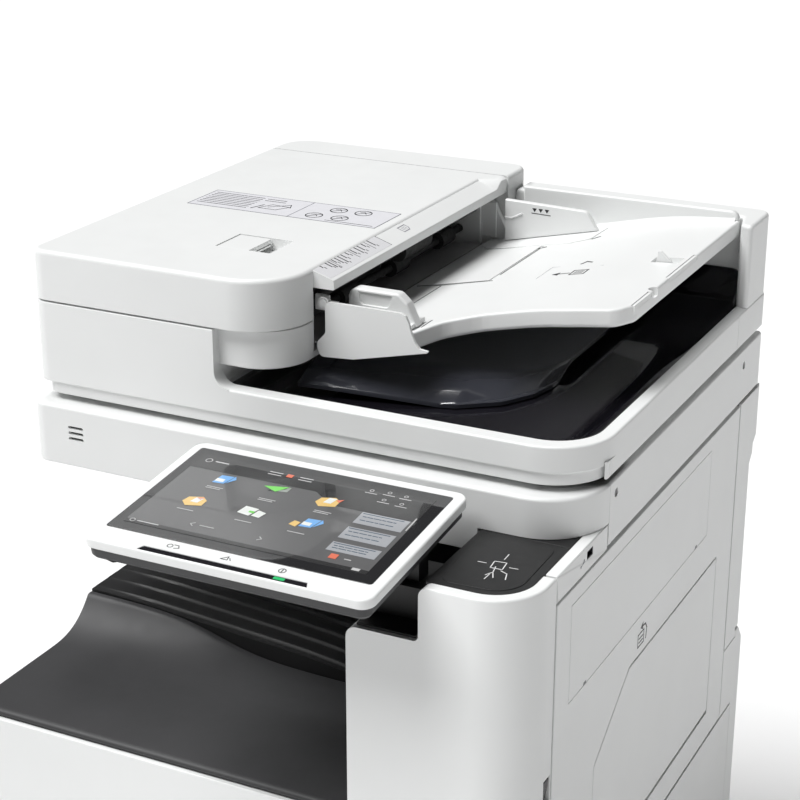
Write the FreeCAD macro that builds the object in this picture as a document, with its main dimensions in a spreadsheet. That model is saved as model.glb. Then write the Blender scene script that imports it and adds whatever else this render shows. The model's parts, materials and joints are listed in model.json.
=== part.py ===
import FreeCAD, Part
import math
import os
import Sketcher

# Office multifunction copier: main unit with two paper cassettes, a scanner and a document feeder.
# Frame: X to the operator's right, Y to the rear, Z up. The origin is on the floor, at the centre of
# the bounding box. Lengths are millimetres.

doc = FreeCAD.newDocument("photocopier")
sheet = doc.addObject("Spreadsheet::Sheet", "Dimensions")
Vector = FreeCAD.Vector


class Size:
    """A length that knows its number and the spreadsheet formula behind it."""

    def __init__(self, number, formula):
        self.number = number
        self.formula = formula

    def combine(self, other, sign, number):
        return Size(number, f"({self.formula} {sign} {as_size(other).formula})")

    def __add__(self, other):
        return self.combine(other, "+", self.number + as_size(other).number)

    def __radd__(self, other):
        return as_size(other) + self

    def __sub__(self, other):
        return self.combine(other, "-", self.number - as_size(other).number)

    def __rsub__(self, other):
        return as_size(other) - self

    def __mul__(self, other):
        return self.combine(other, "*", self.number * as_size(other).number)

    def __rmul__(self, other):
        return as_size(other) * self

    def __truediv__(self, other):
        return self.combine(other, "/", self.number / as_size(other).number)

    def __neg__(self):
        return Size(-self.number, f"(0 - {self.formula})")


def as_size(value):
    return value if isinstance(value, Size) else Size(float(value), f"{float(value)}")


cell_row = 0


def cell(alias, number):
    """Put one driving dimension in the sheet and return it as a Size."""
    global cell_row
    cell_row += 1
    sheet.set(f"A{cell_row}", alias.replace("_", " "))
    sheet.set(f"B{cell_row}", str(number))
    sheet.setAlias(f"B{cell_row}", alias)
    return Size(float(number), f"Dimensions.{alias}")


# ---------------------------------------------------------------- driving dimensions
side = cell("body_half_width", 282.5)
front = cell("front_face", -281)
rear = cell("rear_face", 361)
skin = cell("cover_thickness", 3)
gap = cell("panel_gap", 2)
corner = cell("corner_radius", 48)
clearance = cell("running_clearance", 0.06)

foot_top = cell("foot_height", 24)
foot_across = cell("foot_across", 235)
pan_top = cell("base_pan_top", 30)
skirt_bottom = cell("cover_bottom", 34)
cassette_base = cell("cassette_base", 36)
cassette_pitch = cell("cassette_pitch", 136)
cassette_front_height = cell("cassette_front_height", 132)
cassette_depth = cell("cassette_rear_face", 140)
door_bottom = cell("front_door_bottom", 308)
door_top = cell("front_door_top", 469)
column_bottom = cell("column_bottom", 472)
column_left = cell("column_left_face", 122)
column_step = cell("column_step_face", 188.5)
shoulder = cell("column_shoulder_top", 656)
deck = cell("reader_deck_top", 706)
side_seam = cell("side_seam", -215)
band_end = cell("side_band_rear", -98)

tray_edge = cell("output_tray_front", -82)
tray_high = cell("output_tray_left_top", 507)
tray_low = cell("output_tray_right_top", 476)
cavity_back = cell("cavity_back_face", 262)
cavity_top = cell("cavity_top", 683)

reader_bottom = cell("reader_bottom", 684)
reader_top = cell("reader_top", 743.4)
reader_front = cell("reader_front", -158.5)
glass_thickness = cell("glass_thickness", 4)
rail_radius = cell("carriage_rail_radius", 4)

cover_front = cell("cover_front", -146)
cover_bottom = cell("cover_underside", 749.8)
rail_top = cell("cover_rail_top", 786)
block_right = cell("feeder_block_right", -83)
block_top = cell("feeder_block_top", 840.7)
lid_bottom = cell("feeder_lid_bottom", 842.5)
lid_top = cell("feeder_lid_top", 891)
lid_seam = cell("feeder_lid_rear", 303.5)
lip_right = cell("feeder_lip_face", 8)
lip_top = cell("feeder_lip_level", 882)
lid_crease = cell("feeder_lid_crease", -20)
works_right = cell("feeder_works_right", -14)
feeder_floor = cell("feeder_works_floor", 805)
feeder_shaft = cell("feeder_shaft_radius", 4)
bed_level = cell("output_bed_level", 765)
top_cover_right = cell("rear_top_cover_right", 9.5)
wall_front = cell("rear_wall_front", 325)
wall_top = cell("rear_wall_top", 873)

pivot_x = cell("tray_pivot_across", -6)
pivot_z = cell("tray_pivot_level", 858)
tray_thickness = cell("document_tray_thickness", 18)
tray_right = cell("document_tray_right", 262)
fence_left = cell("tray_fence_left", 22)
fence_rear = cell("tray_fence_rear", 321)
fence_top = cell("tray_fence_top", 880)

panel_tilt = cell("panel_tilt_angle", 5.3)
panel_left = cell("panel_left", -82)
panel_right = cell("panel_right", 186)
panel_depth = cell("panel_depth", 187)
panel_level = cell("panel_front_level", 727.2)
panel_front = cell("panel_front_edge", -361)
hinge_drop = cell("panel_hinge_drop", 38)
hinge_back = cell("panel_hinge_setback", 126)

shaft_radius = cell("shaft_radius", 5)
drum_radius = cell("drum_radius", 42)
fixing_radius = cell("fixing_roller_radius", 20)
pressure_radius = cell("pressure_roller_radius", 15)
bottle_radius = cell("toner_bottle_radius", 50)

door_front = cell("right_door_front", -213)
door_rear = cell("right_door_rear", 292)
door_skin = cell("right_door_thickness", 18)
bypass_front = cell("bypass_front", -110)
bypass_rear = cell("bypass_rear", 239)
bypass_bottom = cell("bypass_bottom", 346)
bypass_top = cell("bypass_top", 528)

frame_front = cell("front_frame_face", -250)
frame_sheet = cell("frame_sheet_thickness", 3)
works_face = cell("drive_side_face", 269)
laser_bottom = cell("laser_unit_bottom", 318)
roller_half = cell("roller_half_length", 195)

# Shaft places, (across, level), shared by the rollers and the bores that carry them.
DRUM = (as_size(150), as_size(400))
FIXING = (as_size(172), as_size(484))
PRESSURE = (FIXING[0] + fixing_radius + pressure_radius + 0.4, FIXING[1])
EXIT = (as_size(136), as_size(575))
BOTTLE = (as_size(-150), as_size(400))

nodes = {}


# ---------------------------------------------------------------- building helpers
def keep(obj, label):
    obj.Label = label
    nodes[label] = obj
    return obj


def fresh(kind, hint="piece"):
    return doc.addObject(kind, hint)


def bind(obj, prop, size):
    obj.setExpression(prop, as_size(size).formula)


def block(x, y, z):
    """Part::Box between (low, high) pairs."""
    box = fresh("Part::Box", "block")
    for axis, prop, (low, high) in (("x", "Length", x), ("y", "Width", y), ("z", "Height", z)):
        bind(box, prop, as_size(high) - low)
        bind(box, f"Placement.Base.{axis}", low)
    return box


AXIS_TURN = {"x": FreeCAD.Rotation(Vector(0, 1, 0), 90),
             "y": FreeCAD.Rotation(Vector(1, 0, 0), -90),
             "z": FreeCAD.Rotation()}


def rod(axis, radius, start, length):
    """Part::Cylinder along an axis from a start point."""
    cylinder = fresh("Part::Cylinder", "rod")
    bind(cylinder, "Radius", radius)
    bind(cylinder, "Height", length)
    cylinder.Placement = FreeCAD.Placement(Vector(), AXIS_TURN[axis])
    for name, place in zip("xyz", start):
        bind(cylinder, f"Placement.Base.{name}", place)
    return cylinder


def fuse(*shapes):
    joined = fresh("Part::MultiFuse", "joined")
    joined.Shapes = list(shapes)
    joined.Refine = True
    return joined


def cut(base, *tools):
    result = fresh("Part::Cut", "cut")
    result.Base = base
    result.Tool = tools[0] if len(tools) == 1 else fuse(*tools)
    result.Refine = True
    return result


def common(*shapes):
    result = fresh("Part::MultiCommon", "common")
    result.Shapes = list(shapes)
    result.Refine = True
    return result


def group(*shapes):
    """Separate solids that share one node."""
    together = fresh("Part::Compound", "group")
    together.Links = list(shapes)
    return together


def edge_numbers(shape, wanted):
    """Numbers of the edges whose end points satisfy the test."""
    found = []
    for number, edge in enumerate(shape.Edges, 1):
        if len(edge.Vertexes) == 2 and wanted(edge.Vertexes[0].Point, edge.Vertexes[1].Point, edge):
            found.append(number)
    return found


def near(value, place, within=0.2):
    return abs(value - as_size(place).number) < within


def upright_at(x, y):
    """Test for the vertical edge through (x, y)."""
    def wanted(start, end, edge):
        return near(start.x, x) and near(end.x, x) and near(start.y, y) and near(end.y, y)
    return wanted


def upright(start, end, edge):
    """Test for any vertical edge."""
    return near(start.x, end.x) and near(start.y, end.y)


def along_y(x, z):
    """Test for edges that run front to rear at one place across and one level."""
    def wanted(start, end, edge):
        return near(start.x, x) and near(end.x, x) and near(start.z, z) and near(end.z, z)
    return wanted


def level_at(z):
    """Test for edges that lie flat at one level."""
    def wanted(start, end, edge):
        return near(start.z, z) and near(end.z, z)
    return wanted


def sketch_on(body, plane, offset):
    sketch = body.newObject("Sketcher::SketchObject", "profile")
    role = f"{plane}_Plane"
    origin_plane = [item for item in body.Origin.OriginFeatures if item.Role == role][0]
    sketch.AttachmentSupport = (origin_plane, [""])
    sketch.MapMode = "FlatFace"
    bind(sketch, "AttachmentOffset.Base.z", offset)
    return sketch


def draw_polygon(sketch, points):
    """Closed outline whose every corner is tied to the sheet."""
    corners = [(as_size(u), as_size(v)) for u, v in points]
    count = len(corners)
    for index, (u, v) in enumerate(corners):
        after = corners[(index + 1) % count]
        sketch.addGeometry(Part.LineSegment(Vector(u.number, v.number, 0),
                                            Vector(after[0].number, after[1].number, 0)))
    for index in range(count):
        sketch.addConstraint(Sketcher.Constraint("Coincident", index, 2, (index + 1) % count, 1))
    for index, corner_place in enumerate(corners):
        for kind, size in zip(("DistanceX", "DistanceY"), corner_place):
            number = sketch.addConstraint(
                Sketcher.Constraint(kind, -1, 1, index, 1, size.number))
            name = f"{kind}{index}"
            sketch.renameConstraint(number, name)
            sketch.setExpression(f"Constraints.{name}", size.formula)


def prism(plane, points, low, high):
    """PartDesign body padded from an outline between two offsets along the plane's normal."""
    body = fresh("PartDesign::Body", "body")
    offset = -as_size(high) if plane == "XZ" else low
    sketch = sketch_on(body, plane, offset)
    draw_polygon(sketch, points)
    pad = body.newObject("PartDesign::Pad", "pad")
    pad.Profile = sketch
    bind(pad, "Length", as_size(high) - low)
    return body


def pocket(body, plane, points, low, high):
    """Pocket an outline out of a body between two offsets."""
    doc.recompute()
    before = body.Shape.Volume
    offset = -as_size(low) if plane == "XZ" else high
    sketch = sketch_on(body, plane, offset)
    draw_polygon(sketch, points)
    feature = body.newObject("PartDesign::Pocket", "pocket")
    feature.Profile = sketch
    bind(feature, "Length", as_size(high) - low)
    doc.recompute()
    if not body.Shape.Volume < before - 1e-6:
        raise RuntimeError("a pocket removed nothing")


def rectangle(u, v):
    return [(u[0], v[0]), (u[1], v[0]), (u[1], v[1]), (u[0], v[1])]


def body_fillet(body, radius, wanted):
    """PartDesign fillet on the edges of the body's tip that pass the test."""
    doc.recompute()
    tip = body.Tip
    names = [f"Edge{number}" for number in edge_numbers(tip.Shape, wanted)]
    fillet = body.newObject("PartDesign::Fillet", "fillet")
    fillet.Base = (tip, names)
    bind(fillet, "Radius", radius)
    doc.recompute()


def roller(radius, place, low, high, shaft, shaft_low, shaft_high):
    """Roller on a through shaft along Y."""
    x, z = place
    drum = rod("y", radius, (x, low, z), as_size(high) - low)
    axle = rod("y", shaft, (x, shaft_low, z), as_size(shaft_high) - shaft_low)
    return fuse(drum, axle)


# ---------------------------------------------------------------- frame and base
def make_base_frame():
    left, right = -side + 10, side - 10
    pan = prism("YZ", [(-255, foot_top), (332, foot_top), (332, skirt_bottom), (329, skirt_bottom),
                       (329, pan_top), (-252, pan_top), (-252, skirt_bottom), (-255, skirt_bottom)],
                left, right)
    keep(pan, "base_frame")


def make_feet():
    feet = []
    for x in (-foot_across.number, foot_across.number):
        for y in (-222, 300):
            foot = fresh("Part::Cone", "foot")
            foot.Radius1 = 17
            foot.Radius2 = 21
            bind(foot, "Height", foot_top)
            foot.Placement = FreeCAD.Placement(Vector(x, y, 0), FreeCAD.Rotation())
            feet.append(foot)
    keep(group(*feet), "feet")


def cassette_bottom(level):
    return cassette_base + cassette_pitch * level


def make_frames():
    left, right = -side + 10, side - 25
    inner = column_left + 6
    front_outline = [(left, pan_top), (right, pan_top), (right, shoulder - 16), (inner, shoulder - 16),
                     (inner, door_top - 1), (left, door_top - 1)]
    plate = prism("XZ", front_outline, frame_front, frame_front + frame_sheet)
    for level in (0, 1):
        low = cassette_bottom(level)
        pocket(plate, "XZ", rectangle((-262, 248), (low, low + 96)), frame_front, frame_front + frame_sheet)
    bores = [rod("y", bottle_radius + 4, (BOTTLE[0], frame_front - 1, BOTTLE[1]), 6)]
    bores += shaft_bores(frame_front - 1, (DRUM, FIXING, PRESSURE, EXIT))
    keep(cut(plate, *bores), "front_frame")
    rear_outline = [(left, pan_top), (right, pan_top), (right, cavity_top - 4), (left, cavity_top - 4)]
    rear_plate = prism("XZ", rear_outline, cavity_back + skin + 1, cavity_back + skin + 4)
    bores = shaft_bores(cavity_back + skin, (DRUM, FIXING, PRESSURE, EXIT, BOTTLE))
    keep(cut(rear_plate, *bores), "rear_frame")


def shaft_bores(start, places):
    return [rod("y", shaft_radius + clearance, (x, start, z), 6) for x, z in places]


# ---------------------------------------------------------------- outer covers
def make_left_cover():
    outline = [(-261, skirt_bottom), (332, skirt_bottom), (332, 400), (337.5, 400), (337.5, cavity_top),
               (cavity_back, cavity_top), (cavity_back, tray_low - 6), (-261, tray_low - 6)]
    keep(prism("YZ", outline, -side, -side + skin), "left_cover")


def make_rear_cover():
    profile = [(342, 402), (342, 596), (351, 606), (351, 616), (rear, 624), (rear, cavity_top - 1),
               (rear - skin, cavity_top - 1), (rear - skin, 626), (348, 618), (348, 608), (339, 598),
               (339, 402)]
    back = prism("YZ", profile, -side, side)
    wing_outline = [(295, 391), (332.5, 391), (332.5, 402), (341, 402), (341, 598), (350, 608),
                    (350, 618), (360, 626), (360, 680), (295, 680)]
    wing = prism("YZ", wing_outline, side - skin, side)
    holes = [rod("y", 2.2, (x, 338, z), 5) for x, z in screw_places()]
    keep(cut(fuse(back, wing), *holes), "rear_cover")


def screw_places():
    return [(x, z) for x in (-262, 0, 258) for z in (420, 584)]


def make_screws():
    screws = []
    for x, z in screw_places():
        head = rod("y", 4.2, (x, 342, z), 2.2)
        shank = rod("y", 2, (x, 334, z), 8.5)
        screws.append(fuse(head, shank))
    keep(group(*screws), "cover_screws")


def make_lower_rear_cover():
    outer = prism("YZ", [(333, skirt_bottom), (rear, skirt_bottom), (rear, 380), (346, 398), (333, 398)],
                  -side, side)
    doc.recompute()
    pocket(outer, "YZ", [(330, skirt_bottom - 1), (rear - skin, skirt_bottom - 1), (rear - skin, 378),
                         (345, 395), (330, 395)], -side + skin, side - skin)
    socket = block((-206, -174), (rear - 10, rear + 1), (56, 80))
    side_wing = block((side - skin, side), (294, 336), (308, 390))
    keep(fuse(cut(outer, socket), side_wing), "lower_rear_cover")


def make_power_inlet():
    shell = prism("XZ", rectangle((-206, -174), (56, 80)), rear - 24, rear - 0.5)
    pocket(shell, "XZ", rectangle((-202, -178), (60, 76)), rear - 20, rear - 0.5)
    keep(shell, "power_inlet")


def make_right_lower_cover():
    keep(prism("YZ", rectangle((side_seam, 332), (skirt_bottom, door_bottom - gap)), side - skin, side),
         "right_lower_cover")


def front_shell(z_low, z_high, slab, left=-281.5):
    """Front panel with its rounded right corner wrapped back along the side."""
    left = as_size(left)
    outline = [(left, front), (side, front), (side, side_seam - gap), (side - skin, side_seam - gap),
               (side - skin, front + slab), (left, front + slab)]
    shell = prism("XY", outline, z_low, z_high)
    body_fillet(shell, corner, upright_at(side, front))
    body_fillet(shell, corner - 14, upright_at(side - skin, front + slab))
    return shell


def make_front_door():
    door = front_shell(door_bottom, door_top, as_size(18))
    pocket(door, "XZ", rectangle((-262, 225), (door_bottom + 10, door_top - 10)), front + 4, front + 19)
    pocket(door, "XZ", rectangle((150, 215), (door_top - 12, door_top + 1)), front + 1, front + 3.5)
    keep(door, "front_door")


def make_front_right_cover():
    outline = [(column_left, front), (side, front), (side, side_seam - gap), (column_left, side_seam - gap)]
    shell = prism("XY", outline, column_bottom, deck)
    body_fillet(shell, corner, upright_at(side, front))
    pocket(shell, "XZ", rectangle((column_left - 1, column_step), (shoulder, deck + 1)),
           front - 1, side_seam)
    body_fillet(shell, 10, along_y(column_left, shoulder))
    body_fillet(shell, 9, along_y(column_step, deck))
    for left, low, high in ((column_left, column_bottom - 1, shoulder - 13),
                            (column_step, shoulder - 14, deck - 12)):
        hollow = [(left + skin, front + skin), (side - 30, front + skin), (side - skin, front + 34),
                  (side - skin, side_seam), (left + skin, side_seam)]
        pocket(shell, "XY", hollow, low, high)
    ledge = block((column_step, side - 11), (side_seam - gap - 0.1, reader_front - 1), (deck - 8, deck))
    inset = block((190.5, 271.5), (-270.5, -160.5), (deck - 3, deck + 1))
    switch_box = block((side - 15, side - skin + 0.5), (-235, side_seam - gap), (494, 526))
    switch = block((side - 12, side + 1), (-233, -219), (497, 523))
    behind_shoulder = block((column_left - 1, column_step), (-261, side_seam),
                            (column_bottom - 1, deck + 1))
    keep(cut(fuse(cut(shell, behind_shoulder), ledge, switch_box), inset, switch), "front_right_cover")


def make_card_reader_panel():
    pad = prism("XY", rectangle((190.7, 271.3), (-270.3, -160.7)), deck - 3, deck + 0.4)
    body_fillet(pad, 7, upright)
    keep(pad, "card_reader_panel")


def make_right_upper_cover():
    band = prism("YZ", rectangle((side_seam, band_end - gap), (681.5, deck)), side - 10.5, side)
    port = block((side - 9, side + 1), (-149, -135), (692.5, 700.5))
    keep(cut(band, port), "right_upper_cover")


def make_usb_port():
    shell = block((side - 9, side - 0.4), (-149, -135), (692.5, 700.5))
    mouth = block((side - 7.5, side), (-148.2, -135.8), (693.6, 699.4))
    keep(cut(shell, mouth), "usb_port")


# ---------------------------------------------------------------- paper output space in the body
def make_output_tray():
    left, right = -side, column_left - 0.5
    surface = [(left, tray_high), (-209, tray_high), (-94, 499), (-28, 493), (5, 487), (48, 478),
               (right, tray_low)]
    outline = [(left, tray_low - 4), (right, tray_low - 4)] + surface[::-1]
    plate = prism("XZ", outline, tray_edge + 1, cavity_back)
    rib_outline = [(u, as_size(v) - 1) for u, v in surface[:6]]
    rib_outline += [(u, as_size(v) + 2.5) for u, v in surface[5::-1]]
    ribs = fresh("PartDesign::Body", "ribs")
    first = sketch_on(ribs, "XZ", -(tray_edge + 11))
    draw_polygon(first, rib_outline)
    rib = ribs.newObject("PartDesign::Pad", "rib")
    rib.Profile = first
    rib.Length = 5
    pattern = ribs.newObject("PartDesign::LinearPattern", "rib_row")
    pattern.Originals = [rib]
    pattern.Direction = (first, ["N_Axis"])
    pattern.Reversed = True
    pattern.Length = 292.5
    pattern.Occurrences = 14
    ribs.Tip = pattern
    keep(fuse(plate, ribs), "inner_tray")


def make_output_shelf():
    left, right = -side, column_left - 0.5
    high = [(front + 4, tray_low), (-154, tray_low), (-129, 480), (-104, 486), (-91, 498), (-82, 507)]
    low = [(front + 4, tray_low), (-154, tray_low), (-129, tray_low), (-104, tray_low),
           (-91, tray_low), (-82, tray_low)]
    shelf = fresh("PartDesign::Body", "shelf")
    sections = []
    for place, crest in ((left, high), (right, low)):
        section = sketch_on(shelf, "YZ", place)
        draw_polygon(section, [(-82, tray_low - 5), (front + 4, tray_low - 5)] + crest)
        sections.append(section)
    loft = shelf.newObject("PartDesign::AdditiveLoft", "loft")
    loft.Profile = sections[0]
    loft.Sections = [sections[1]]
    loft.Ruled = True
    keep(shelf, "output_shelf")


def make_cavity_walls():
    keep(prism("XZ", rectangle((-side + skin, column_left), (tray_high + 3, cavity_top)),
               cavity_back, cavity_back + skin), "cavity_rear_wall")
    outline = [(-259, tray_low - 4), (cavity_back, tray_low - 4), (cavity_back, cavity_top),
               (reader_front, cavity_top), (reader_front, shoulder - 10), (-259, shoulder - 10)]
    wall = prism("YZ", outline, column_left, column_left + skin)
    slot = block((column_left - 1, column_left + skin + 1), (-78, 206), (560, 594))
    keep(cut(wall, slot), "cavity_right_wall")


# ---------------------------------------------------------------- works inside the body
def make_inner_works():
    laser = prism("XY", rectangle((-80, 88), (frame_front + frame_sheet, works_face - 3)),
                  laser_bottom, laser_bottom + 48)
    body_fillet(laser, 4, upright)
    keep(laser, "laser_unit")
    gearbox = prism("XZ", rectangle((40, 230), (340, 520)), works_face, works_face + 41)
    motor = rod("y", 28, (100, works_face + 41, 430), 22)
    keep(fuse(gearbox, motor), "main_drive_unit")
    supply = prism("XZ", rectangle((-250, -20), (60, 250)), works_face, works_face + 59)
    keep(supply, "power_supply")


def make_rollers():
    low = frame_front - 1
    for label, radius, place in (("drum", drum_radius, DRUM), ("fixing_roller", fixing_radius, FIXING),
                                 ("pressure_roller", pressure_radius, PRESSURE)):
        keep(roller(radius, place, -roller_half, roller_half, shaft_radius, low, works_face), label)
    x, z = EXIT
    rings = [rod("y", 10, (x, y, z), 16) for y in (-60, 10, 80, 150)]
    keep(fuse(rod("y", shaft_radius, (x, low, z), works_face - low), *rings), "exit_roller")
    x, z = BOTTLE
    bottle_front, bottle_length = frame_front + 4, 370
    cap = rod("y", 22, (x, bottle_front - 8, z), 10)
    collar = rod("y", 26, (x, bottle_front + bottle_length - 2, z), 12)
    axle_start = bottle_front + bottle_length + 6
    axle = rod("y", shaft_radius, (x, axle_start, z), works_face - axle_start)
    bottle = rod("y", bottle_radius, (x, bottle_front, z), bottle_length)
    keep(fuse(bottle, cap, collar, axle), "toner_bottle")


# ---------------------------------------------------------------- cassettes
def make_cassette(name, level):
    low = cassette_bottom(level)
    panel = front_shell(low, low + cassette_front_height, as_size(16))
    pocket(panel, "XZ", rectangle((-75, 75), (low + 88, low + 118)), front - 1, front + 11)
    keep(panel, f"{name}_front")
    tray = prism("XY", rectangle((-256, 242), (front + 16.2, cassette_depth)), low + 4, low + 90)
    pocket(tray, "XY", rectangle((-253, 239), (front + 19.2, cassette_depth - skin)), low + 7, low + 91)
    keep(tray, f"{name}_tray")
    keep(prism("XZ", rectangle((-120, 232), (low + 11, low + 13.5)), as_size(-215), as_size(110)),
         f"{name}_lift_plate")


# ---------------------------------------------------------------- scanner
def make_reader():
    top_skin = 6
    glass_y = (-20, 287)
    shell = prism("XY", rectangle((-side, side), (reader_front, rear)), reader_bottom, reader_top)
    body_fillet(shell, corner + 10, upright_at(side, reader_front))
    body_fillet(shell, 16, upright_at(-side, reader_front))
    room = block((-262, 262), (-60, 320), (reader_bottom + 6, reader_top - top_skin))
    rear_step = block((-side - 1, side + 1), (352, rear + 1), (736, reader_top + 1))
    front_step = block((column_step - 3, side + 1), (reader_front - 1, band_end),
                       (reader_bottom - 1, deck + 0.5))
    lights = []
    for x_low, x_high in ((-200, 240), (-247, -223)):
        lights.append(block((x_low, x_high), glass_y, (reader_top - glass_thickness, reader_top + 1)))
        lights.append(block((x_low + 4, x_high - 4), (glass_y[0] + 4, glass_y[1] - 4),
                            (reader_top - 8, reader_top)))
    keep(cut(shell, room, rear_step, front_step, *lights), "reader_housing")
    level = (reader_top - glass_thickness, reader_top)
    keep(prism("XY", rectangle((-200, 240), glass_y), *level), "platen_glass")
    keep(prism("XY", rectangle((-247, -223), glass_y), *level), "slit_glass")
    keep(prism("XY", rectangle((-200, 240), glass_y), reader_top + 0.7, cover_bottom), "platen_backing")
    rail_place = (-262, 133, 706)
    keep(rod("x", rail_radius, rail_place, 524), "carriage_rail")
    carriage = prism("XZ", [(-246, 697), (-200, 697), (-200, 722), (-210, 733), (-246, 733)],
                     as_size(-36), as_size(300))
    keep(cut(carriage, rod("x", rail_radius + clearance, rail_place, 100)), "scanner_carriage")


# ---------------------------------------------------------------- platen cover and feeder
def make_adf_base():
    floor = prism("XY", rectangle((-side, side), (cover_front, rear)), cover_bottom, rail_top)
    body_fillet(floor, corner + 10, upright_at(side, cover_front))
    body_fillet(floor, 16, upright_at(-side, cover_front))
    bowl = block((block_right, side - 12.5), (cover_front + 15, wall_front), (bed_level, rail_top + 1))
    left = prism("XY", rectangle((-side, block_right), (cover_front, rear)), rail_top - 1, block_top)
    body_fillet(left, 16, upright_at(-side, cover_front))
    upper = block((block_right - 1, works_right), (cover_front + 10, rear), (feeder_floor, block_top))
    rear_fill = block((block_right - 1, top_cover_right + 1), (wall_front, rear), (rail_top - 1, block_top))
    room = block((-side + 14, works_right), (cover_front + 26, 290), (feeder_floor + 7, block_top + 1))
    ear_level = (feeder_floor + 21, pivot_z + 6)
    front_ear = block((works_right - 2, 0), (-89.5, -84), ear_level)
    rear_ear = block((works_right - 2, 2), (290.5, 293.5), ear_level)
    shaft_ears = [block((-48, works_right - 1), (y, y + 3), (block_top - 30, 868)) for y in (-84, 287)]
    shaft_holes = [rod("y", feeder_shaft + clearance, (x, -86, z), 400) for x, z in feeder_shafts()]
    pins = [rod("y", feeder_shaft, (pivot_x, -85, pivot_z), 10),
            rod("y", feeder_shaft, (pivot_x, 292, pivot_z), 9.5)]
    base = fuse(cut(floor, bowl), cut(fuse(left, upper, rear_fill), room), front_ear, rear_ear, *pins)
    keep(fuse(base, *[cut(ear, *shaft_holes) for ear in shaft_ears]), "adf_base")


def feeder_shafts():
    return ((-24, 856), (-40, 832))


def make_dish():
    x = (block_right + 0.5, side - 13)
    y = (cover_front + 15.5, wall_front - 0.5)
    bed = prism("XY", rectangle(x, y), bed_level, bed_level + 16)
    slope = prism("XZ", [(block_right + 6, 776), (40, 772), (170, 768), (x[1] - 7, 776), (x[1] - 7, 785),
                         (block_right + 6, 785)], y[0] + 7, y[1] - 7)
    keep(cut(bed, slope), "output_dish")
    hump = prism("XZ", [(-20, 774.2), (40, 772.1), (170, 768.1), (176, 769.2), (176, 781), (120, 790),
                        (60, 796), (-20, 799)],
                 as_size(-92), as_size(300))
    keep(hump, "dish_plate")


def make_rear_wall():
    wall_left = top_cover_right + 1
    outline = [(wall_left, wall_front), (264, wall_front), (270, 292), (side, 289), (side, rear),
               (wall_left, rear)]
    wall = prism("XY", outline, rail_top, wall_top)
    body_fillet(wall, 9, along_y(side, wall_top))
    keep(wall, "rear_wall_cover")


def lid_outline(inset):
    """Side view of the feeder lid, from the left wall over the top to the sloping lip."""
    return [(-side + inset, lid_bottom), (-side + inset, lid_top - inset),
            (lid_crease - inset / 2, lid_top - inset), (lip_right - inset, lip_top - inset),
            (lip_right - inset, lid_bottom)]


def make_feeder_lid():
    solid = prism("XZ", lid_outline(as_size(0)), cover_front, lid_seam)
    plan = [(-side, cover_front), (-13, cover_front), (-13, -86), (lip_right, -65), (lip_right, lid_seam),
            (-side, lid_seam)]
    plan_prism = prism("XY", plan, lid_bottom - 1, lid_top + 1)
    body_fillet(plan_prism, 56, upright_at(-13, cover_front))
    body_fillet(plan_prism, 16, upright_at(-side, cover_front))
    outer = common(solid, plan_prism)
    wall = as_size(4)
    inner = prism("XZ", lid_outline(wall), cover_front + 4, lid_seam - 3)
    inner_plan = [(-side + wall, cover_front + 4), (-40, cover_front + 4), (-18, -108), (-18, -86),
                  (lip_right - 4, -60), (lip_right - 4, lid_seam - 3), (-side + wall, lid_seam - 3)]
    hollow = common(inner, prism("XY", inner_plan, lid_bottom - 2, lid_top))
    mouth = block((-18, lip_right + 1), (-90, lid_seam + 1), (lid_bottom - 1, 868))
    cup = block((-136, -66), (-66, -10), (877, lid_top - 2))
    recess = block((-131, -71), (-61, -15), (881, lid_top + 1))
    keep(cut(fuse(cut(outer, hollow, mouth), cup), recess), "feeder_cover")
    latch = prism("XZ", [(-129.5, 886), (-129.5, 890.6), (-95, 890.6), (-95, 886.5), (-110, 885)],
                  as_size(-59.5), as_size(-16.5))
    keep(latch, "feeder_latch")
    keep(prism("XZ", rectangle((-side, top_cover_right), (block_top, lid_top)), lid_seam + 1.5, rear),
         "rear_top_cover")


def feeder_roller(place, ring_radius, ring_starts, ring_length):
    """Thin shaft between the feeder's ears with rubber rings on it."""
    x, z = place
    shaft = rod("y", feeder_shaft, (x, -84, z), 374)
    return fuse(shaft, *[rod("y", ring_radius, (x, start, z), ring_length) for start in ring_starts])


def make_feeder_rollers():
    pickup, feed = feeder_shafts()
    keep(feeder_roller(pickup, 11, [105], 60), "adf_pickup_roller")
    keep(feeder_roller(feed, 9, [10, 120, 230], 30), "adf_feed_roller")


# ---------------------------------------------------------------- document tray
TRAY_SURFACE = [(-6, 821), (20, 825), (50, 832), (112, 846), (189, 863), (262, 870.5)]


def along_tray(points, lift):
    return [(u, as_size(v) + lift) for u, v in points]


def tray_band(points, low, high):
    """Outline that follows the tray's surface between two heights above it."""
    return along_tray(points, low) + along_tray(points, high)[::-1]


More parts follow.
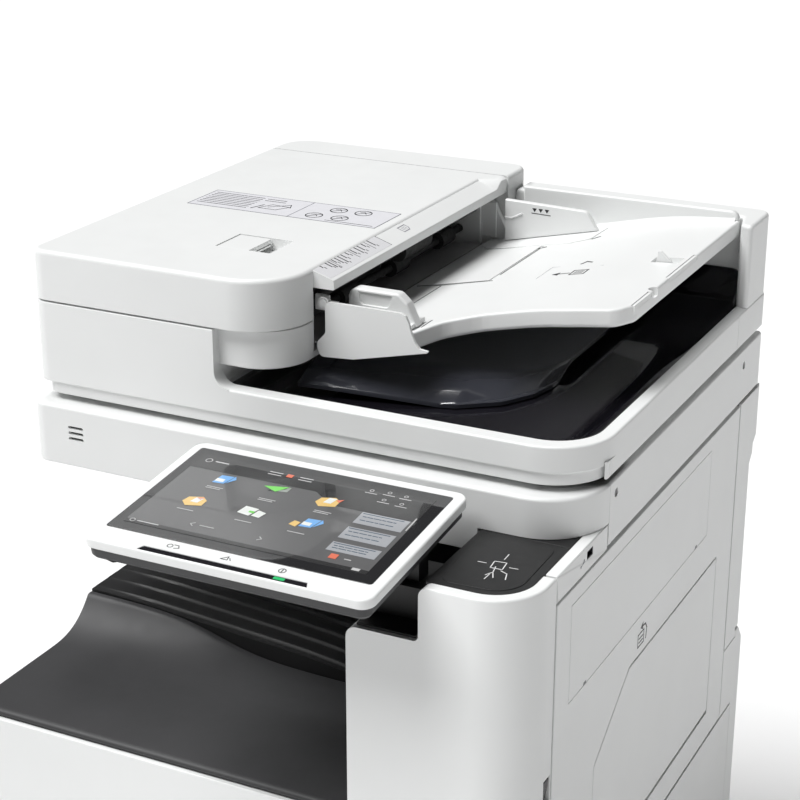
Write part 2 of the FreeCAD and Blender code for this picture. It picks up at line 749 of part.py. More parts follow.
def make_document_tray():
    slab = prism("XZ", tray_band(TRAY_SURFACE, -tray_thickness, 0), as_size(-74), fence_rear)
    plan = [(-6, -74), (72, -74), (88, -46), (112, -20), (215, -20), (248, -12), (tray_right, 8),
            (tray_right, fence_rear), (fence_left, fence_rear), (fence_left, 303), (-6, 303)]
    shape = prism("XY", plan, as_size(790), as_size(900))
    body_fillet(shape, 12, upright_at(tray_right, 8))
    fence = prism("XZ", [(fence_left, 822), (tray_right, 860), (tray_right, fence_top),
                         (fence_left, fence_top)], fence_rear - 8, fence_rear)
    arm = prism("XZ", [(-12, 858), (-12, 846), (-4.5, 843), (-4.5, 812), (12, 812), (12, 835), (0, 858)],
                as_size(295), as_size(302))
    boss = rod("y", 6, (pivot_x, 295, pivot_z), 7)
    bore = rod("y", 4 + clearance, (pivot_x, 290, pivot_z), 14)
    stop_recess = block((226, 254), (145.5, 164), (864.1, 882))
    keep(cut(fuse(cut(common(slab, shape), stop_recess), fence, arm, boss), bore), "document_tray")


def make_tray_skirt():
    outline = [(-12, 824), (-12, 860), (-4, 862), (70, 858), (78, 850), (84, 836), (92, 829),
               (101, 827), (60, 822), (18, 808), (-4, 810)]
    plate = prism("XZ", outline, as_size(-83), as_size(-74.2))
    boss = rod("y", 6, (pivot_x, -83, pivot_z), 8)
    bore = rod("y", 4 + clearance, (pivot_x, -84, pivot_z), 12)
    keep(cut(fuse(plate, boss), bore), "tray_skirt")


def make_document_guides():
    base = [(14, 823.8), (20, 825), (50, 832), (76, 838)]
    front_outline = along_tray(base, 0.8) + [(66, 860), (58, 868), (14, 868)]
    keep(prism("XZ", front_outline, as_size(-60), as_size(-32)), "front_guide")
    base = [(18, 824.5), (50, 832), (112, 846), (120, 847.8)]
    rear_outline = along_tray(base, 0.8) + [(110, 868), (102, 870), (18, 870)]
    keep(prism("XZ", rear_outline, as_size(284), as_size(291)), "rear_guide")


def make_tray_stopper():
    fin = prism("XZ", [(229, 866.3), (251, 867.8), (248, 871), (235, 880), (233, 880)],
                as_size(147), as_size(149))
    keep(fin, "tray_stopper")


# ---------------------------------------------------------------- operation panel
def tilt_panel(obj):
    """Lean a panel piece, modelled flat from the panel's front edge, to its rest tilt."""
    obj.Placement = FreeCAD.Placement(Vector(0, panel_front.number, panel_level.number),
                                      FreeCAD.Rotation(Vector(1, 0, 0), panel_tilt.number))
    bind(obj, "Placement.Base.y", panel_front)
    bind(obj, "Placement.Base.z", panel_level)


def hinge_axis():
    """World place of the panel hinge, worked out from the tilt."""
    angle = math.radians(panel_tilt.number)
    y = panel_front.number + hinge_back.number * math.cos(angle) + hinge_drop.number * math.sin(angle)
    z = panel_level.number + hinge_back.number * math.sin(angle) - hinge_drop.number * math.cos(angle)
    return y, z


def make_panel():
    frame = prism("XY", rectangle((panel_left, panel_right), (0, panel_depth)), as_size(-9), as_size(0))
    body_fillet(frame, 11, upright)
    pocket(frame, "XY", rectangle((-73, 175.6), (24.5, 177)), as_size(-10), as_size(1))
    keep(frame, "panel_frame")
    tilt_panel(frame)
    glass = prism("XY", rectangle((-72.7, 175.3), (24.8, 176.7)), as_size(-6), as_size(-0.2))
    keep(glass, "panel_glass")
    tilt_panel(glass)
    housing = prism("XY", rectangle((panel_left + 10, panel_right - 10), (12, panel_depth - 8)),
                    as_size(-27), as_size(-9))
    body_fillet(housing, 8, level_at(-27))
    tab = block((140, 156), (hinge_back - 9, hinge_back + 9), (-hinge_drop, -26))
    barrel = rod("x", 9, (140, hinge_back, -hinge_drop), 16)
    bore = rod("x", 4 + clearance, (139, hinge_back, -hinge_drop), 18)
    whole = cut(fuse(housing, tab, barrel), bore)
    keep(whole, "panel_housing")
    tilt_panel(whole)
    y, z = hinge_axis()
    ears = []
    for x_low, x_high in ((126, 139.4), (156.6, 170)):
        ears.append(block((x_low, x_high), (y - 9, y + 9), (688, z)))
        ears.append(rod("x", 9, (x_low, y, z), x_high - x_low))
    pin = rod("x", 4, (126, y, z), 44)
    stem = block((126, 186), (-252, -200), (shoulder, 688))
    deck_plate = block((126, 187.5), (-260, reader_front - 0.5), (shoulder - 8, shoulder))
    keep(fuse(deck_plate, stem, pin, *ears), "panel_arm")


# ---------------------------------------------------------------- right side doors and the switch
def make_right_door():
    outer = prism("YZ", rectangle((door_front, door_rear), (door_bottom + 1, 679.5)),
                  side - door_skin, side)
    low, high = bypass_bottom - 3.6, bypass_top + 1.5
    opening = prism("YZ", [(bypass_front - 1.5, low), (bypass_rear + 1.5, low), (bypass_rear + 1.5, high),
                           (-24, high), (bypass_front - 1.5, 470)], side - door_skin - 1, side + 1)
    hollow = block((side - door_skin - 1, side - skin), (door_front + 6, door_rear - 14), (556, 672))
    frame_line = prism("YZ", rectangle((-181, 199), (570.5, 664.5)), side - 1, side + 1)
    frame_core = prism("YZ", rectangle((-179.6, 197.6), (571.9, 663.1)), side - 2, side + 2)
    keep(cut(outer, opening, hollow, cut(frame_line, frame_core)), "right_door")
    tray = prism("YZ", [(bypass_front, bypass_bottom), (bypass_rear, bypass_bottom),
                        (bypass_rear, bypass_top), (-24.6, bypass_top), (bypass_front, 469.4)],
                 side - 13, side)
    keep(tray, "bypass_tray")


def make_power_switch():
    rocker = prism("XZ", [(side - 7, 500), (side - 3.2, 500), (side - 1.2, 510), (side - 0.2, 521),
                          (side - 7, 521)], as_size(-231.5), as_size(-220.5))
    keep(rocker, "power_switch")


def build():
    make_base_frame()
    make_feet()
    make_frames()
    make_left_cover()
    make_rear_cover()
    make_screws()
    make_lower_rear_cover()
    make_power_inlet()
    make_right_lower_cover()
    make_front_door()
    make_front_right_cover()
    make_card_reader_panel()
    make_right_upper_cover()
    make_usb_port()
    make_output_tray()
    make_output_shelf()
    make_cavity_walls()
    make_inner_works()
    make_rollers()
    make_cassette("lower_cassette", 0)
    make_cassette("upper_cassette", 1)
    make_reader()
    make_adf_base()
    make_dish()
    make_rear_wall()
    make_feeder_lid()
    make_feeder_rollers()
    make_document_tray()
    make_tray_skirt()
    make_document_guides()
    make_tray_stopper()
    make_panel()
    make_right_door()
    make_power_switch()


def check_and_write():
    doc.recompute()
    for obj in doc.Objects:
        if "Invalid" in obj.State or "Error" in obj.State:
            raise RuntimeError(f"{obj.Label} failed: {obj.State}")
    os.makedirs("parts", exist_ok=True)
    for label, obj in nodes.items():
        shape = obj.Shape
        if shape.isNull() or not shape.isValid():
            raise RuntimeError(f"{label} has no valid shape")
        shape.exportStep(f"parts/{label}.step")
        box = shape.BoundBox
        print(f"{label:22s} solids {len(shape.Solids)} X {box.XMin:.1f} {box.XMax:.1f} "
              f"Y {box.YMin:.1f} {box.YMax:.1f} Z {box.ZMin:.1f} {box.ZMax:.1f}")
    print(len(nodes), "nodes")
    y, z = hinge_axis()
    print(f"panel hinge axis Y {y:.2f} Z {z:.2f}")


build()
check_and_write()
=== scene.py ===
import json
from math import atan2, cos, pi, radians, sin, tan

import bmesh
import bpy
from mathutils import Matrix, Vector


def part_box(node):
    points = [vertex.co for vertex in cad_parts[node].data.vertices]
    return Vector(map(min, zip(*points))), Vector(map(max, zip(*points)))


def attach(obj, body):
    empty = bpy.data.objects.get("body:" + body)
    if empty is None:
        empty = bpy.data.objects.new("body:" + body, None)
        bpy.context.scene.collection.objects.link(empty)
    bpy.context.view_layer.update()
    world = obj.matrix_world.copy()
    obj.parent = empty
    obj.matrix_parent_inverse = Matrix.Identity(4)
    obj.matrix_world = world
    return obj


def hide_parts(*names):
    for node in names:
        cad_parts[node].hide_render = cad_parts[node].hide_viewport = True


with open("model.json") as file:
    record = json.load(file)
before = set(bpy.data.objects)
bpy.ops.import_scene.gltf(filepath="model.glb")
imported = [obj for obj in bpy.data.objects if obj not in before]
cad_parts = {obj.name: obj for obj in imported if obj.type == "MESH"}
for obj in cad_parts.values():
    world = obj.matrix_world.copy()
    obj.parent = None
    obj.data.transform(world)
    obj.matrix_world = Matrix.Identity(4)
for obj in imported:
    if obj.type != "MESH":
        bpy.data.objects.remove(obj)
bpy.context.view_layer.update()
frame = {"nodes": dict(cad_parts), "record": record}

mm = 0.001
BODY_OF = {node: body for body, group in frame["record"]["behaviour"]["bodies"].items() for node in group}
SLOT_OF = {part["node"]: part["material_slot"] for part in frame["record"]["subparts"]}


# ---------------------------------------------------------------- material nodes
class Nodes:
    """A material's node tree, with short calls for the nodes used here."""

    def __init__(self, name):
        self.material = bpy.data.materials.new(name)
        self.material.use_nodes = True
        self.tree = self.material.node_tree
        self.shader = self.tree.nodes["Principled BSDF"]
        self.place = self.add("ShaderNodeTexCoord").outputs["Object"]

    def add(self, kind, **settings):
        node = self.tree.nodes.new(kind)
        for key, value in settings.items():
            setattr(node, key, value)
        return node

    def link(self, source, target):
        self.tree.links.new(source, target)

    def noise(self, per_metre, detail=3.0, roughness=0.5, stretch=None):
        node = self.add("ShaderNodeTexNoise")
        node.inputs["Scale"].default_value = per_metre
        node.inputs["Detail"].default_value = detail
        node.inputs["Roughness"].default_value = roughness
        source = self.place
        if stretch:
            mapping = self.add("ShaderNodeMapping")
            mapping.inputs["Scale"].default_value = stretch
            self.link(self.place, mapping.inputs["Vector"])
            source = mapping.outputs["Vector"]
        self.link(source, node.inputs["Vector"])
        return node.outputs["Fac"]

    def ramp(self, value, low, high, start=0.3, end=0.7):
        node = self.add("ShaderNodeMapRange")
        for key, number in (("From Min", start), ("From Max", end), ("To Min", low), ("To Max", high)):
            node.inputs[key].default_value = number
        self.link(value, node.inputs["Value"])
        return node.outputs["Result"]

    def blend(self, factor, first, second):
        node = self.add("ShaderNodeMix", data_type="RGBA")
        self.link(factor, node.inputs["Factor"])
        node.inputs["A"].default_value = (*first, 1)
        node.inputs["B"].default_value = (*second, 1)
        return node.outputs["Result"]

    def bump(self, height, distance, strength=1.0):
        node = self.add("ShaderNodeBump")
        node.inputs["Distance"].default_value = distance
        node.inputs["Strength"].default_value = strength
        self.link(height, node.inputs["Height"])
        self.link(node.outputs["Normal"], self.shader.inputs["Normal"])

    def tint(self, factor, first, second):
        colour = self.blend(factor, first, second)
        self.link(colour, self.shader.inputs["Base Color"])
        return colour

    def rough(self, value, low, high, start=0.3, end=0.7):
        self.link(self.ramp(value, low, high, start, end), self.shader.inputs["Roughness"])

    def set(self, **values):
        for key, value in values.items():
            self.shader.inputs[key.replace("_", " ")].default_value = value


def shade(colour, factor):
    return tuple(channel * factor for channel in colour)


def moulded(name, colour, roughness, grain=1400, depth=0.02, drift=0.03, wear=0.03, **values):
    """Moulded plastic: spark-eroded grain, slight colour drift and a little handling polish."""
    nodes = Nodes(name)
    cloudy = nodes.noise(9, 2)
    nodes.tint(nodes.ramp(cloudy, 0, 1), shade(colour, 1 - drift), colour)
    polish = nodes.noise(60, 4)
    nodes.rough(polish, roughness - wear, roughness + wear, 0.2, 0.8)
    nodes.bump(nodes.noise(grain, 2), depth * mm)
    nodes.set(**values)
    return nodes.material


def glossy(name, colour, roughness=0.07, coat=1.0, drift=0.15):
    """High-gloss moulding: deep colour, faint flow ripples and a few dust specks in the polish."""
    nodes = Nodes(name)
    nodes.tint(nodes.ramp(nodes.noise(14, 2), 0, 1), shade(colour, 1 - drift), colour)
    dust = nodes.noise(900, 3)
    nodes.rough(dust, roughness, roughness + 0.12, 0.55, 0.8)
    nodes.bump(nodes.noise(18, 1), 0.15 * mm, 0.25)
    nodes.set(Coat_Weight=coat, Coat_Roughness=0.03)
    return nodes.material


def sheet_metal(name, colour=(0.55, 0.56, 0.57), roughness=0.38):
    """Zinc-plated sheet with rolling lines."""
    nodes = Nodes(name)
    lines = nodes.noise(220, 4, 0.6, (1, 1, 14))
    nodes.tint(nodes.ramp(nodes.noise(30, 4), 0, 1), shade(colour, 0.82), colour)
    nodes.rough(lines, roughness - 0.1, roughness + 0.12)
    nodes.bump(lines, 0.02 * mm, 0.5)
    nodes.set(Metallic=1.0)
    return nodes.material


def rubber(name, colour, roughness=0.75):
    """Rubber with a fine ground finish."""
    nodes = Nodes(name)
    nodes.tint(nodes.ramp(nodes.noise(70, 4), 0, 1), shade(colour, 0.7), colour)
    nodes.rough(nodes.noise(260, 3), roughness - 0.12, roughness + 0.1)
    nodes.bump(nodes.noise(1800, 3, 0.7), 0.06 * mm, 0.7)
    return nodes.material


def clear_glass(name):
    """Float glass with a green edge tint and faint wipe marks."""
    nodes = Nodes(name)
    nodes.tint(nodes.ramp(nodes.noise(12, 2), 0, 1), (0.82, 0.93, 0.9), (0.9, 0.97, 0.95))
    nodes.rough(nodes.noise(40, 4, 0.6, (1, 6, 1)), 0.01, 0.06, 0.5, 0.8)
    nodes.set(Transmission_Weight=1.0, IOR=1.5)
    return nodes.material


def ink(name, colour, roughness=0.45, glow=0.0, coat=0.0):
    """Printed or displayed colour with a fine dot pattern."""
    nodes = Nodes(name)
    dots = nodes.noise(2600, 1)
    blended = nodes.tint(nodes.ramp(dots, 0, 1), shade(colour, 0.86), colour)
    nodes.rough(nodes.noise(120, 3), roughness - 0.04, roughness + 0.06)
    if glow:
        nodes.link(blended, nodes.shader.inputs["Emission Color"])
        nodes.set(Emission_Strength=glow)
    nodes.set(Coat_Weight=coat, Coat_Roughness=0.03)
    return nodes.material


WHITE = moulded("white_cover", (0.845, 0.855, 0.85), 0.42)
SMOOTH_WHITE = moulded("smooth_white", (0.86, 0.87, 0.865), 0.34, grain=700, depth=0.003, drift=0.015,
                       wear=0.01)
BLACK = moulded("black_tray", (0.012, 0.012, 0.0125), 0.5, depth=0.03, drift=0.2)
SHELF = moulded("shelf_grey", (0.042, 0.042, 0.044), 0.55, depth=0.03, drift=0.12)
GLOSS = glossy("gloss_black", (0.011, 0.01, 0.014))
GREY = moulded("grey_plastic", (0.2, 0.2, 0.21), 0.5)
DARK = moulded("dark_plastic", (0.02, 0.02, 0.022), 0.45)
BACKING = moulded("backing", (0.88, 0.88, 0.87), 0.6, grain=500)
STEEL = sheet_metal("steel")
SHAFT = sheet_metal("bright_shaft", (0.72, 0.72, 0.73), 0.15)
SCREW = sheet_metal("screw_steel", (0.6, 0.6, 0.62), 0.25)
GLASS = clear_glass("glass")
SCREEN = glossy("screen", (0.02, 0.02, 0.022), 0.05)
RUBBER = rubber("rubber", (0.03, 0.03, 0.03))
ROLLER = rubber("roller_rubber", (0.2, 0.2, 0.215))
DRUM = glossy("drum_coating", (0.04, 0.19, 0.22), 0.12)

FINISHES = {"white_cover": WHITE, "black_tray": BLACK, "gloss_black": GLOSS, "shelf_grey": SHELF,
            "steel": STEEL, "bright_shaft": SHAFT, "glass": GLASS, "screen": SCREEN, "rubber": RUBBER,
            "roller_rubber": ROLLER, "grey_plastic": GREY, "drum_coating": DRUM, "toner_plastic": DARK,
            "backing": BACKING, "screw_steel": SCREW}

for node_name, node_object in frame["nodes"].items():
    node_object.data.materials.clear()
    node_object.data.materials.append(FINISHES[SLOT_OF[node_name]])


# ---------------------------------------------------------------- outlines and solids, in millimetres
class Span:
    """A CAD node's box, in millimetres."""

    def __init__(self, node):
        low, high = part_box(node)
        self.left, self.front, self.bottom = low / mm
        self.right, self.rear, self.top = high / mm

    def plan(self, *radii):
        """The box seen from above."""
        return rectangle(self.left, self.right, self.front, self.rear, *radii)

    def solid(self, **shifts):
        """The box as a solid, with any of its six sides shifted."""
        at = {side: place + shifts.get(side, 0) for side, place in vars(self).items()}
        return block((at["left"], at["right"]), (at["front"], at["rear"]), (at["bottom"], at["top"]))


def arc(centre, radius, start, turn, step=8):
    """Points along an arc, with angles in degrees."""
    count = max(2, round(abs(turn) / step))
    return [Vector((centre[0] + radius * cos(radians(start + turn * i / count)),
                    centre[1] + radius * sin(radians(start + turn * i / count)))) for i in range(count + 1)]


def rounded(*corners):
    """Outline through the corners; a corner's third number is the radius it is rounded to."""
    points = []
    for index, corner in enumerate(corners):
        here = Vector(corner[:2])
        if len(corner) == 2:
            points.append(here)
            continue
        back = (Vector(corners[index - 1][:2]) - here).normalized()
        ahead = (Vector(corners[(index + 1) % len(corners)][:2]) - here).normalized()
        half = back.angle(ahead) / 2
        centre = here + (back + ahead).normalized() * corner[2] / sin(half)
        start = here + back * corner[2] / tan(half) - centre
        end = here + ahead * corner[2] / tan(half) - centre
        first = atan2(start.y, start.x)
        turn = (atan2(end.y, end.x) - first + pi) % (2 * pi) - pi
        points += arc(centre, corner[2], first * 180 / pi, turn * 180 / pi)
    return points


def rectangle(left, right, low, high, *radii):
    """Rectangle with one radius for all corners, or four from the lower left anticlockwise."""
    corners = ((left, low), (right, low), (right, high), (left, high))
    radii = radii * 4 if len(radii) == 1 else radii or (0, 0, 0, 0)
    return rounded(*[(*corner, radius) if radius else corner for corner, radius in zip(corners, radii)])


def anticlockwise(outline):
    points = [Vector(point) for point in outline]
    area = sum(a.x * b.y - b.x * a.y for a, b in zip(points, points[1:] + points[:1]))
    return points if area > 0 else points[::-1]


def inset(outline, distance):
    """An anticlockwise outline moved inwards."""
    moved = []
    for index, here in enumerate(outline):
        back = (here - outline[index - 1]).normalized()
        ahead = (outline[(index + 1) % len(outline)] - here).normalized()
        first, second = Vector((-back.y, back.x)), Vector((-ahead.y, ahead.x))
        moved.append(here + (first + second) * distance / (1 + first.dot(second)))
    return moved


AXES = {"z": lambda u, v, w: (u, v, w), "y": lambda u, v, w: (u, w, v), "x": lambda u, v, w: (w, u, v)}


def loft(sections):
    """Solid through closed sections that have the same number of points."""
    bm = bmesh.new()
    rows = [[bm.verts.new(point) for point in section] for section in sections]
    for row, after in zip(rows, rows[1:]):
        for i in range(len(row)):
            j = (i + 1) % len(row)
            bm.faces.new((row[i], row[j], after[j], after[i]))
    bm.faces.new(rows[0][::-1])
    bm.faces.new(rows[-1])
    bmesh.ops.recalc_face_normals(bm, faces=bm.faces)
    return bm


def moulding(outline, low, high, soft=1.0, soft_low=None, axis="z", steps=4):
    """An outline raised from low to high along an axis, with its rims rounded."""
    outline = anticlockwise(outline)
    soft_low = soft if soft_low is None else soft_low
    rings = []
    for radius, level, way in ((soft_low, low, 1), (soft, high, -1)):
        turns = range(steps + 1) if radius else [steps]
        ring = [(radius * (1 - sin(pi / 2 * k / steps)), level + way * radius * (1 - cos(pi / 2 * k / steps)))
                for k in turns]
        rings += ring if way > 0 else ring[::-1]
    place = AXES[axis]
    return loft([[place(point.x, point.y, level) for point in inset(outline, distance)]
                 for distance, level in rings])


def block(x, y, z, soft=0.0):
    return moulding(rectangle(*x, *y), *z, soft=soft)


def rod(axis, centre, radius, low, high, soft=0.4, step=12):
    return moulding(arc(centre, radius, 0, 360 - step, step), low, high, soft, axis=axis)


def temporary(bm, name):
    mesh = bpy.data.meshes.new(name)
    bm.to_mesh(mesh)
    bm.free()
    thing = bpy.data.objects.new(name, mesh)
    bpy.context.scene.collection.objects.link(thing)
    return thing


def combined(operation, first, *others):
    """Boolean of bmeshes, done with the exact solver."""
    thing = temporary(first, "first")
    tools = [temporary(other, "tool") for other in others]
    for tool in tools:
        modifier = thing.modifiers.new("boolean", "BOOLEAN")
        modifier.operation = operation
        modifier.solver = "EXACT"
        modifier.object = tool
    bpy.context.view_layer.update()
    result = bpy.data.meshes.new_from_object(thing.evaluated_get(bpy.context.evaluated_depsgraph_get()))
    bm = bmesh.new()
    bm.from_mesh(result)
    for leftover in [thing] + tools:
        mesh = leftover.data
        bpy.data.objects.remove(leftover)
        bpy.data.meshes.remove(mesh)
    bpy.data.meshes.remove(result)
    return bm


def joined(*solids):
    return combined("UNION", *solids)


def carved(solid, *tools):
    return combined("DIFFERENCE", solid, *tools)


def together(*solids):
    """Separate solids gathered into one mesh."""
    whole = bmesh.new()
    for solid in solids:
        mesh = bpy.data.meshes.new("part")
        solid.to_mesh(mesh)
        solid.free()
        whole.from_mesh(mesh)
        bpy.data.meshes.remove(mesh)
    return whole


def moved(bm, turn=None, shift=(0, 0, 0)):
    bmesh.ops.transform(bm, matrix=Matrix.Translation(shift) @ (turn or Matrix.Identity(4)), verts=bm.verts)
    return bm


def sliced(bm, axis, stations):
    """Adds edge loops at stations along an axis, so that the solid can bend there."""
    normal = Vector([axis == name for name in "xyz"])
    for station in stations:
        bmesh.ops.bisect_plane(bm, geom=bm.verts[:] + bm.edges[:] + bm.faces[:], dist=1e-4,
                               plane_co=normal * station, plane_no=normal)
    return bm


def softened(bm, radius, chosen, segments=2, angle=35):
    """Rounds the hard edges whose middle passes the test."""
    edges = [edge for edge in bm.edges
             if len(edge.link_faces) == 2 and edge.calc_face_angle(0) > radians(angle)
             and chosen((edge.verts[0].co + edge.verts[1].co) / 2)]
    bmesh.ops.bevel(bm, geom=edges, offset=radius, segments=segments, profile=0.5, affect="EDGES",
                    clamp_overlap=True)
    return bm


def piece(bm, name, material, body, replaced=(), sharp=32):
    """A solid in millimetres becomes a smooth-shaded piece that rides on a body."""
    bmesh.ops.recalc_face_normals(bm, faces=bm.faces)
    bmesh.ops.scale(bm, vec=(mm, mm, mm), verts=bm.verts)
    mesh = bpy.data.meshes.new(name)
    bm.to_mesh(mesh)
    bm.free()
    for polygon in mesh.polygons:
        polygon.use_smooth = True
    mesh.set_sharp_from_angle(angle=radians(sharp))
    made = bpy.data.objects.new(name, mesh)
    bpy.context.scene.collection.objects.link(made)
    mesh.materials.append(material)
    even = made.modifiers.new("even_shading", "WEIGHTED_NORMAL")
    even.keep_sharp = True
    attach(made, body)
    if replaced:
        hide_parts(*replaced)
    return made


def shell(bm, node, material=None, sharp=32):
    """The detailed piece that stands for one CAD node."""
    slot = SLOT_OF[node]
    return piece(bm, f"{node}_shell", material or FINISHES[slot], BODY_OF[node], (node,), sharp)


# ---------------------------------------------------------------- printed marks
class Marks:
    """Thin ink shapes laid on a face; place turns (u, v, height) into millimetres in the frame."""

    def __init__(self, place):
        self.bm = bmesh.new()
        self.place = place

    def slab(self, loop):
        low = [self.bm.verts.new(self.place(u, v, 0.02)) for u, v in loop]
        high = [self.bm.verts.new(self.place(u, v, INK_DEPTH)) for u, v in loop]
        self.bm.faces.new(low[::-1])
        self.bm.faces.new(high)
        for i in range(len(loop)):
            j = (i + 1) % len(loop)
            self.bm.faces.new((low[i], low[j], high[j], high[i]))

    def fill(self, outline):
        self.slab([(point[0], point[1]) for point in outline])
        return self

    def line(self, *points, width=0.6, closed=False):
        """Straight strokes from point to point."""
        ends = list(points) + ([points[0]] if closed else [])
        for start, end in zip(ends, ends[1:]):
            start, end = Vector(start[:2]), Vector(end[:2])
            along = (end - start).normalized() * width / 2
            across = Vector((-along.y, along.x))
            self.slab([start - along + across, start - along - across, end + along - across,
                       end + along + across])
        return self

    def ring(self, centre, radius, width=0.6):
        return self.line(*arc(centre, radius, 0, 345, 15), width=width, closed=True)

    def box(self, left, right, low, high, width):
        return self.line(*rectangle(left, right, low, high), width=width, closed=True)

    def rows(self, left, right, low, high, count, width=0.7, dash=4.0):
        """Rows of short plain dashes of uneven length, as on a small printed notice."""
        for row in range(count):
            v = high - (high - low) * (row + 0.5) / count
            u = left
            step = row
            while u < right - 1:
                length = min(dash * (0.5 + 0.35 * (step % 3)), right - u)
                self.line((u, v), (u + length, v), width=width)
                u += length + dash * 0.35
                step += 1
        return self

    def done(self, name, material, body, slot):
        return piece(self.bm, name, material, body)


INK_DEPTH = 0.16
BLACK_INK = ink("black_ink", (0.02, 0.02, 0.022))
GREY_INK = ink("grey_ink", (0.3, 0.3, 0.34))
WHITE_INK = ink("white_ink", (0.8, 0.8, 0.8))


def on_top(level):
    return lambda u, v, height: (u, v, level + height)


def on_right(face):
    return lambda u, v, height: (face + height, u, v)


def on_front(face):
    return lambda u, v, height: (u, face - height, v)


# ---------------------------------------------------------------- feeder lid
LID = Span("feeder_cover")
LID_BODY_RIGHT = LID.right - 21
LID_CREASE = LID.right - 28
LIP_TOP = LID.top - 9
LIP_EDGE = LID.top - 18
LIP_BOTTOM = LID.top - 23
LID_EDGE = 4.5
LEFT_CORNER = 16
SEAM_OVERRUN = 12


def lip_section(y, crease, face_top):
    root = LID.right - 60
    top = LID.top - 0.03
    return [(root, y, LIP_EDGE), (root, y, top), (crease - 2, y, top), (crease + 1, y, top - 0.35),
            (LID.right - 2, y, face_top + 0.6), (LID.right - 0.5, y, face_top - 0.1),
            (LID.right, y, face_top - 1.2), (LID.right, y, LIP_EDGE + 0.8), (LID.right - 0.8, y, LIP_EDGE)]


def feeder_lid():
    plan = rectangle(LID.left, LID_BODY_RIGHT, LID.front, LID.rear + SEAM_OVERRUN, LEFT_CORNER, 56, 0, 0)
    body = moulding(plan, LID.bottom, LID.top, LID_EDGE, 0.8, steps=6)
    rear_crease, rear_face = LID.right - 5, LID.top - 2.5
    lip = loft([lip_section(LID.front + 62, LID_CREASE, LIP_TOP),
                lip_section(LID.rear - 24, LID_CREASE, LIP_TOP),
                lip_section(LID.rear - 14, rear_crease, rear_face),
                lip_section(LID.rear + 1, rear_crease, rear_face)])
    whole = joined(body, lip)
    beyond = block((LID.left - 5, LID.right + 5), (LID.rear, LID.rear + 40), (LID.bottom - 5, LID.top + 5))
    hollow = block((LID.left + 4, LID_BODY_RIGHT - 4), (LID.front + 6, LID.rear - 3),
                   (LID.bottom - 1, LID.top - 4))
    corner = block((LID_BODY_RIGHT - 40, LID_BODY_RIGHT + 1), (LID.front - 1, LID.front + 50),
                   (LID.bottom - 2, LID.top - 3))
    hollow = carved(hollow, corner)
    mouth = block((LID_BODY_RIGHT - 6, LID.right + 1), (LID.front + 61, LID.rear + 1),
                  (LID.bottom - 1, LIP_EDGE))
    whole = carved(whole, beyond, hollow, mouth)
    latch = Span("feeder_latch")
    cup = block((latch.left - 6, latch.right + 30), (latch.front - 7, latch.rear + 7),
                (LID.top - 15, LID.top - 2))
    deep, ramp_top = LID.top - 12, LID.top + 1
    recess = moulding([(latch.left - 1, deep), (latch.right + 12, deep), (latch.right + 24.5, ramp_top),
                       (latch.left - 1, ramp_top)], latch.front - 1, latch.rear + 1, 0, axis="y")
    whole = carved(joined(whole, cup), recess)
    ribs = [block((LID.left + 8, LID.left + 180), (y, y + 1.6), (LID.bottom + 3, LID.top - 3.5))
            for y in (LID.front + 40, LID.rear - 120, LID.rear - 40)]
    shell(together(whole, *ribs), "feeder_cover")
    tab = moulding(latch.plan(1), LID.top - 6, latch.top, 0.7)
    grip = [(latch.right - 12, LID.top - 6), (latch.right, LID.top - 4.5), (latch.right, LID.top - 7.2),
            (latch.right - 6, LID.top - 8.4)]
    grip = moulding(grip, latch.front + 2, latch.rear - 2, 0.3, axis="y")
    shell(together(tab, grip), "feeder_latch")


def lid_marks():
    """Instruction label on the lid's top, with plain dashes and pictures in place of words."""
    front, rear = LID.front + 204, LID.front + 262
    left, middle, right = LID.left + 46, LID.left + 161, LID.left + 258
    paper = Marks(on_top(LID.top)).fill(rectangle(left, right, front, rear))
    paper.done("lid_label_paper", ink("label_paper", (0.8, 0.8, 0.835)), "feeder_lid", "white_cover")
    raised = on_top(LID.top + INK_DEPTH)
    border = Marks(raised).box(left, right, front, rear, 0.7)
    border.line((middle, front), (middle, rear), width=0.7)
    border.done("lid_label_frame", GREY_INK, "feeder_lid", "white_cover")
    notice = Marks(raised).rows(left + 5, left + 62, front + 8, rear - 5, 8, 1.0)
    notice.rows(left + 66, middle - 26, rear - 18, rear - 6, 2, 1.0)
    x, y = middle - 30, front + 16
    notice.line((x - 12, y), (x + 8, y), (x + 16, y + 14), (x - 4, y + 16), width=0.8, closed=True)
    notice.line((x - 4, y + 6), (x + 14, y + 22), (x + 18, y + 12), width=0.8)
    notice.line((x - 18, y - 4), (x - 12, y + 12), width=1.2)
    for u, v in ((28, 16), (42, 42), (69, 43), (56, 17)):
        x, y = middle + u - 6, front + v
        notice.ring((x, y), 8.5, 1.0)
        notice.line((x - 5.5, y - 5.5), (x + 5.5, y + 5.5), width=1.0)
        notice.line((x - 4, y + 2), (x, y + 4), (x + 4, y - 2), width=0.7)
    notice.rows(middle + 40, middle + 92, front + 3, front + 7, 1, 0.8, 3)
    notice.done("lid_notice", BLACK_INK, "feeder_lid", "white_cover")


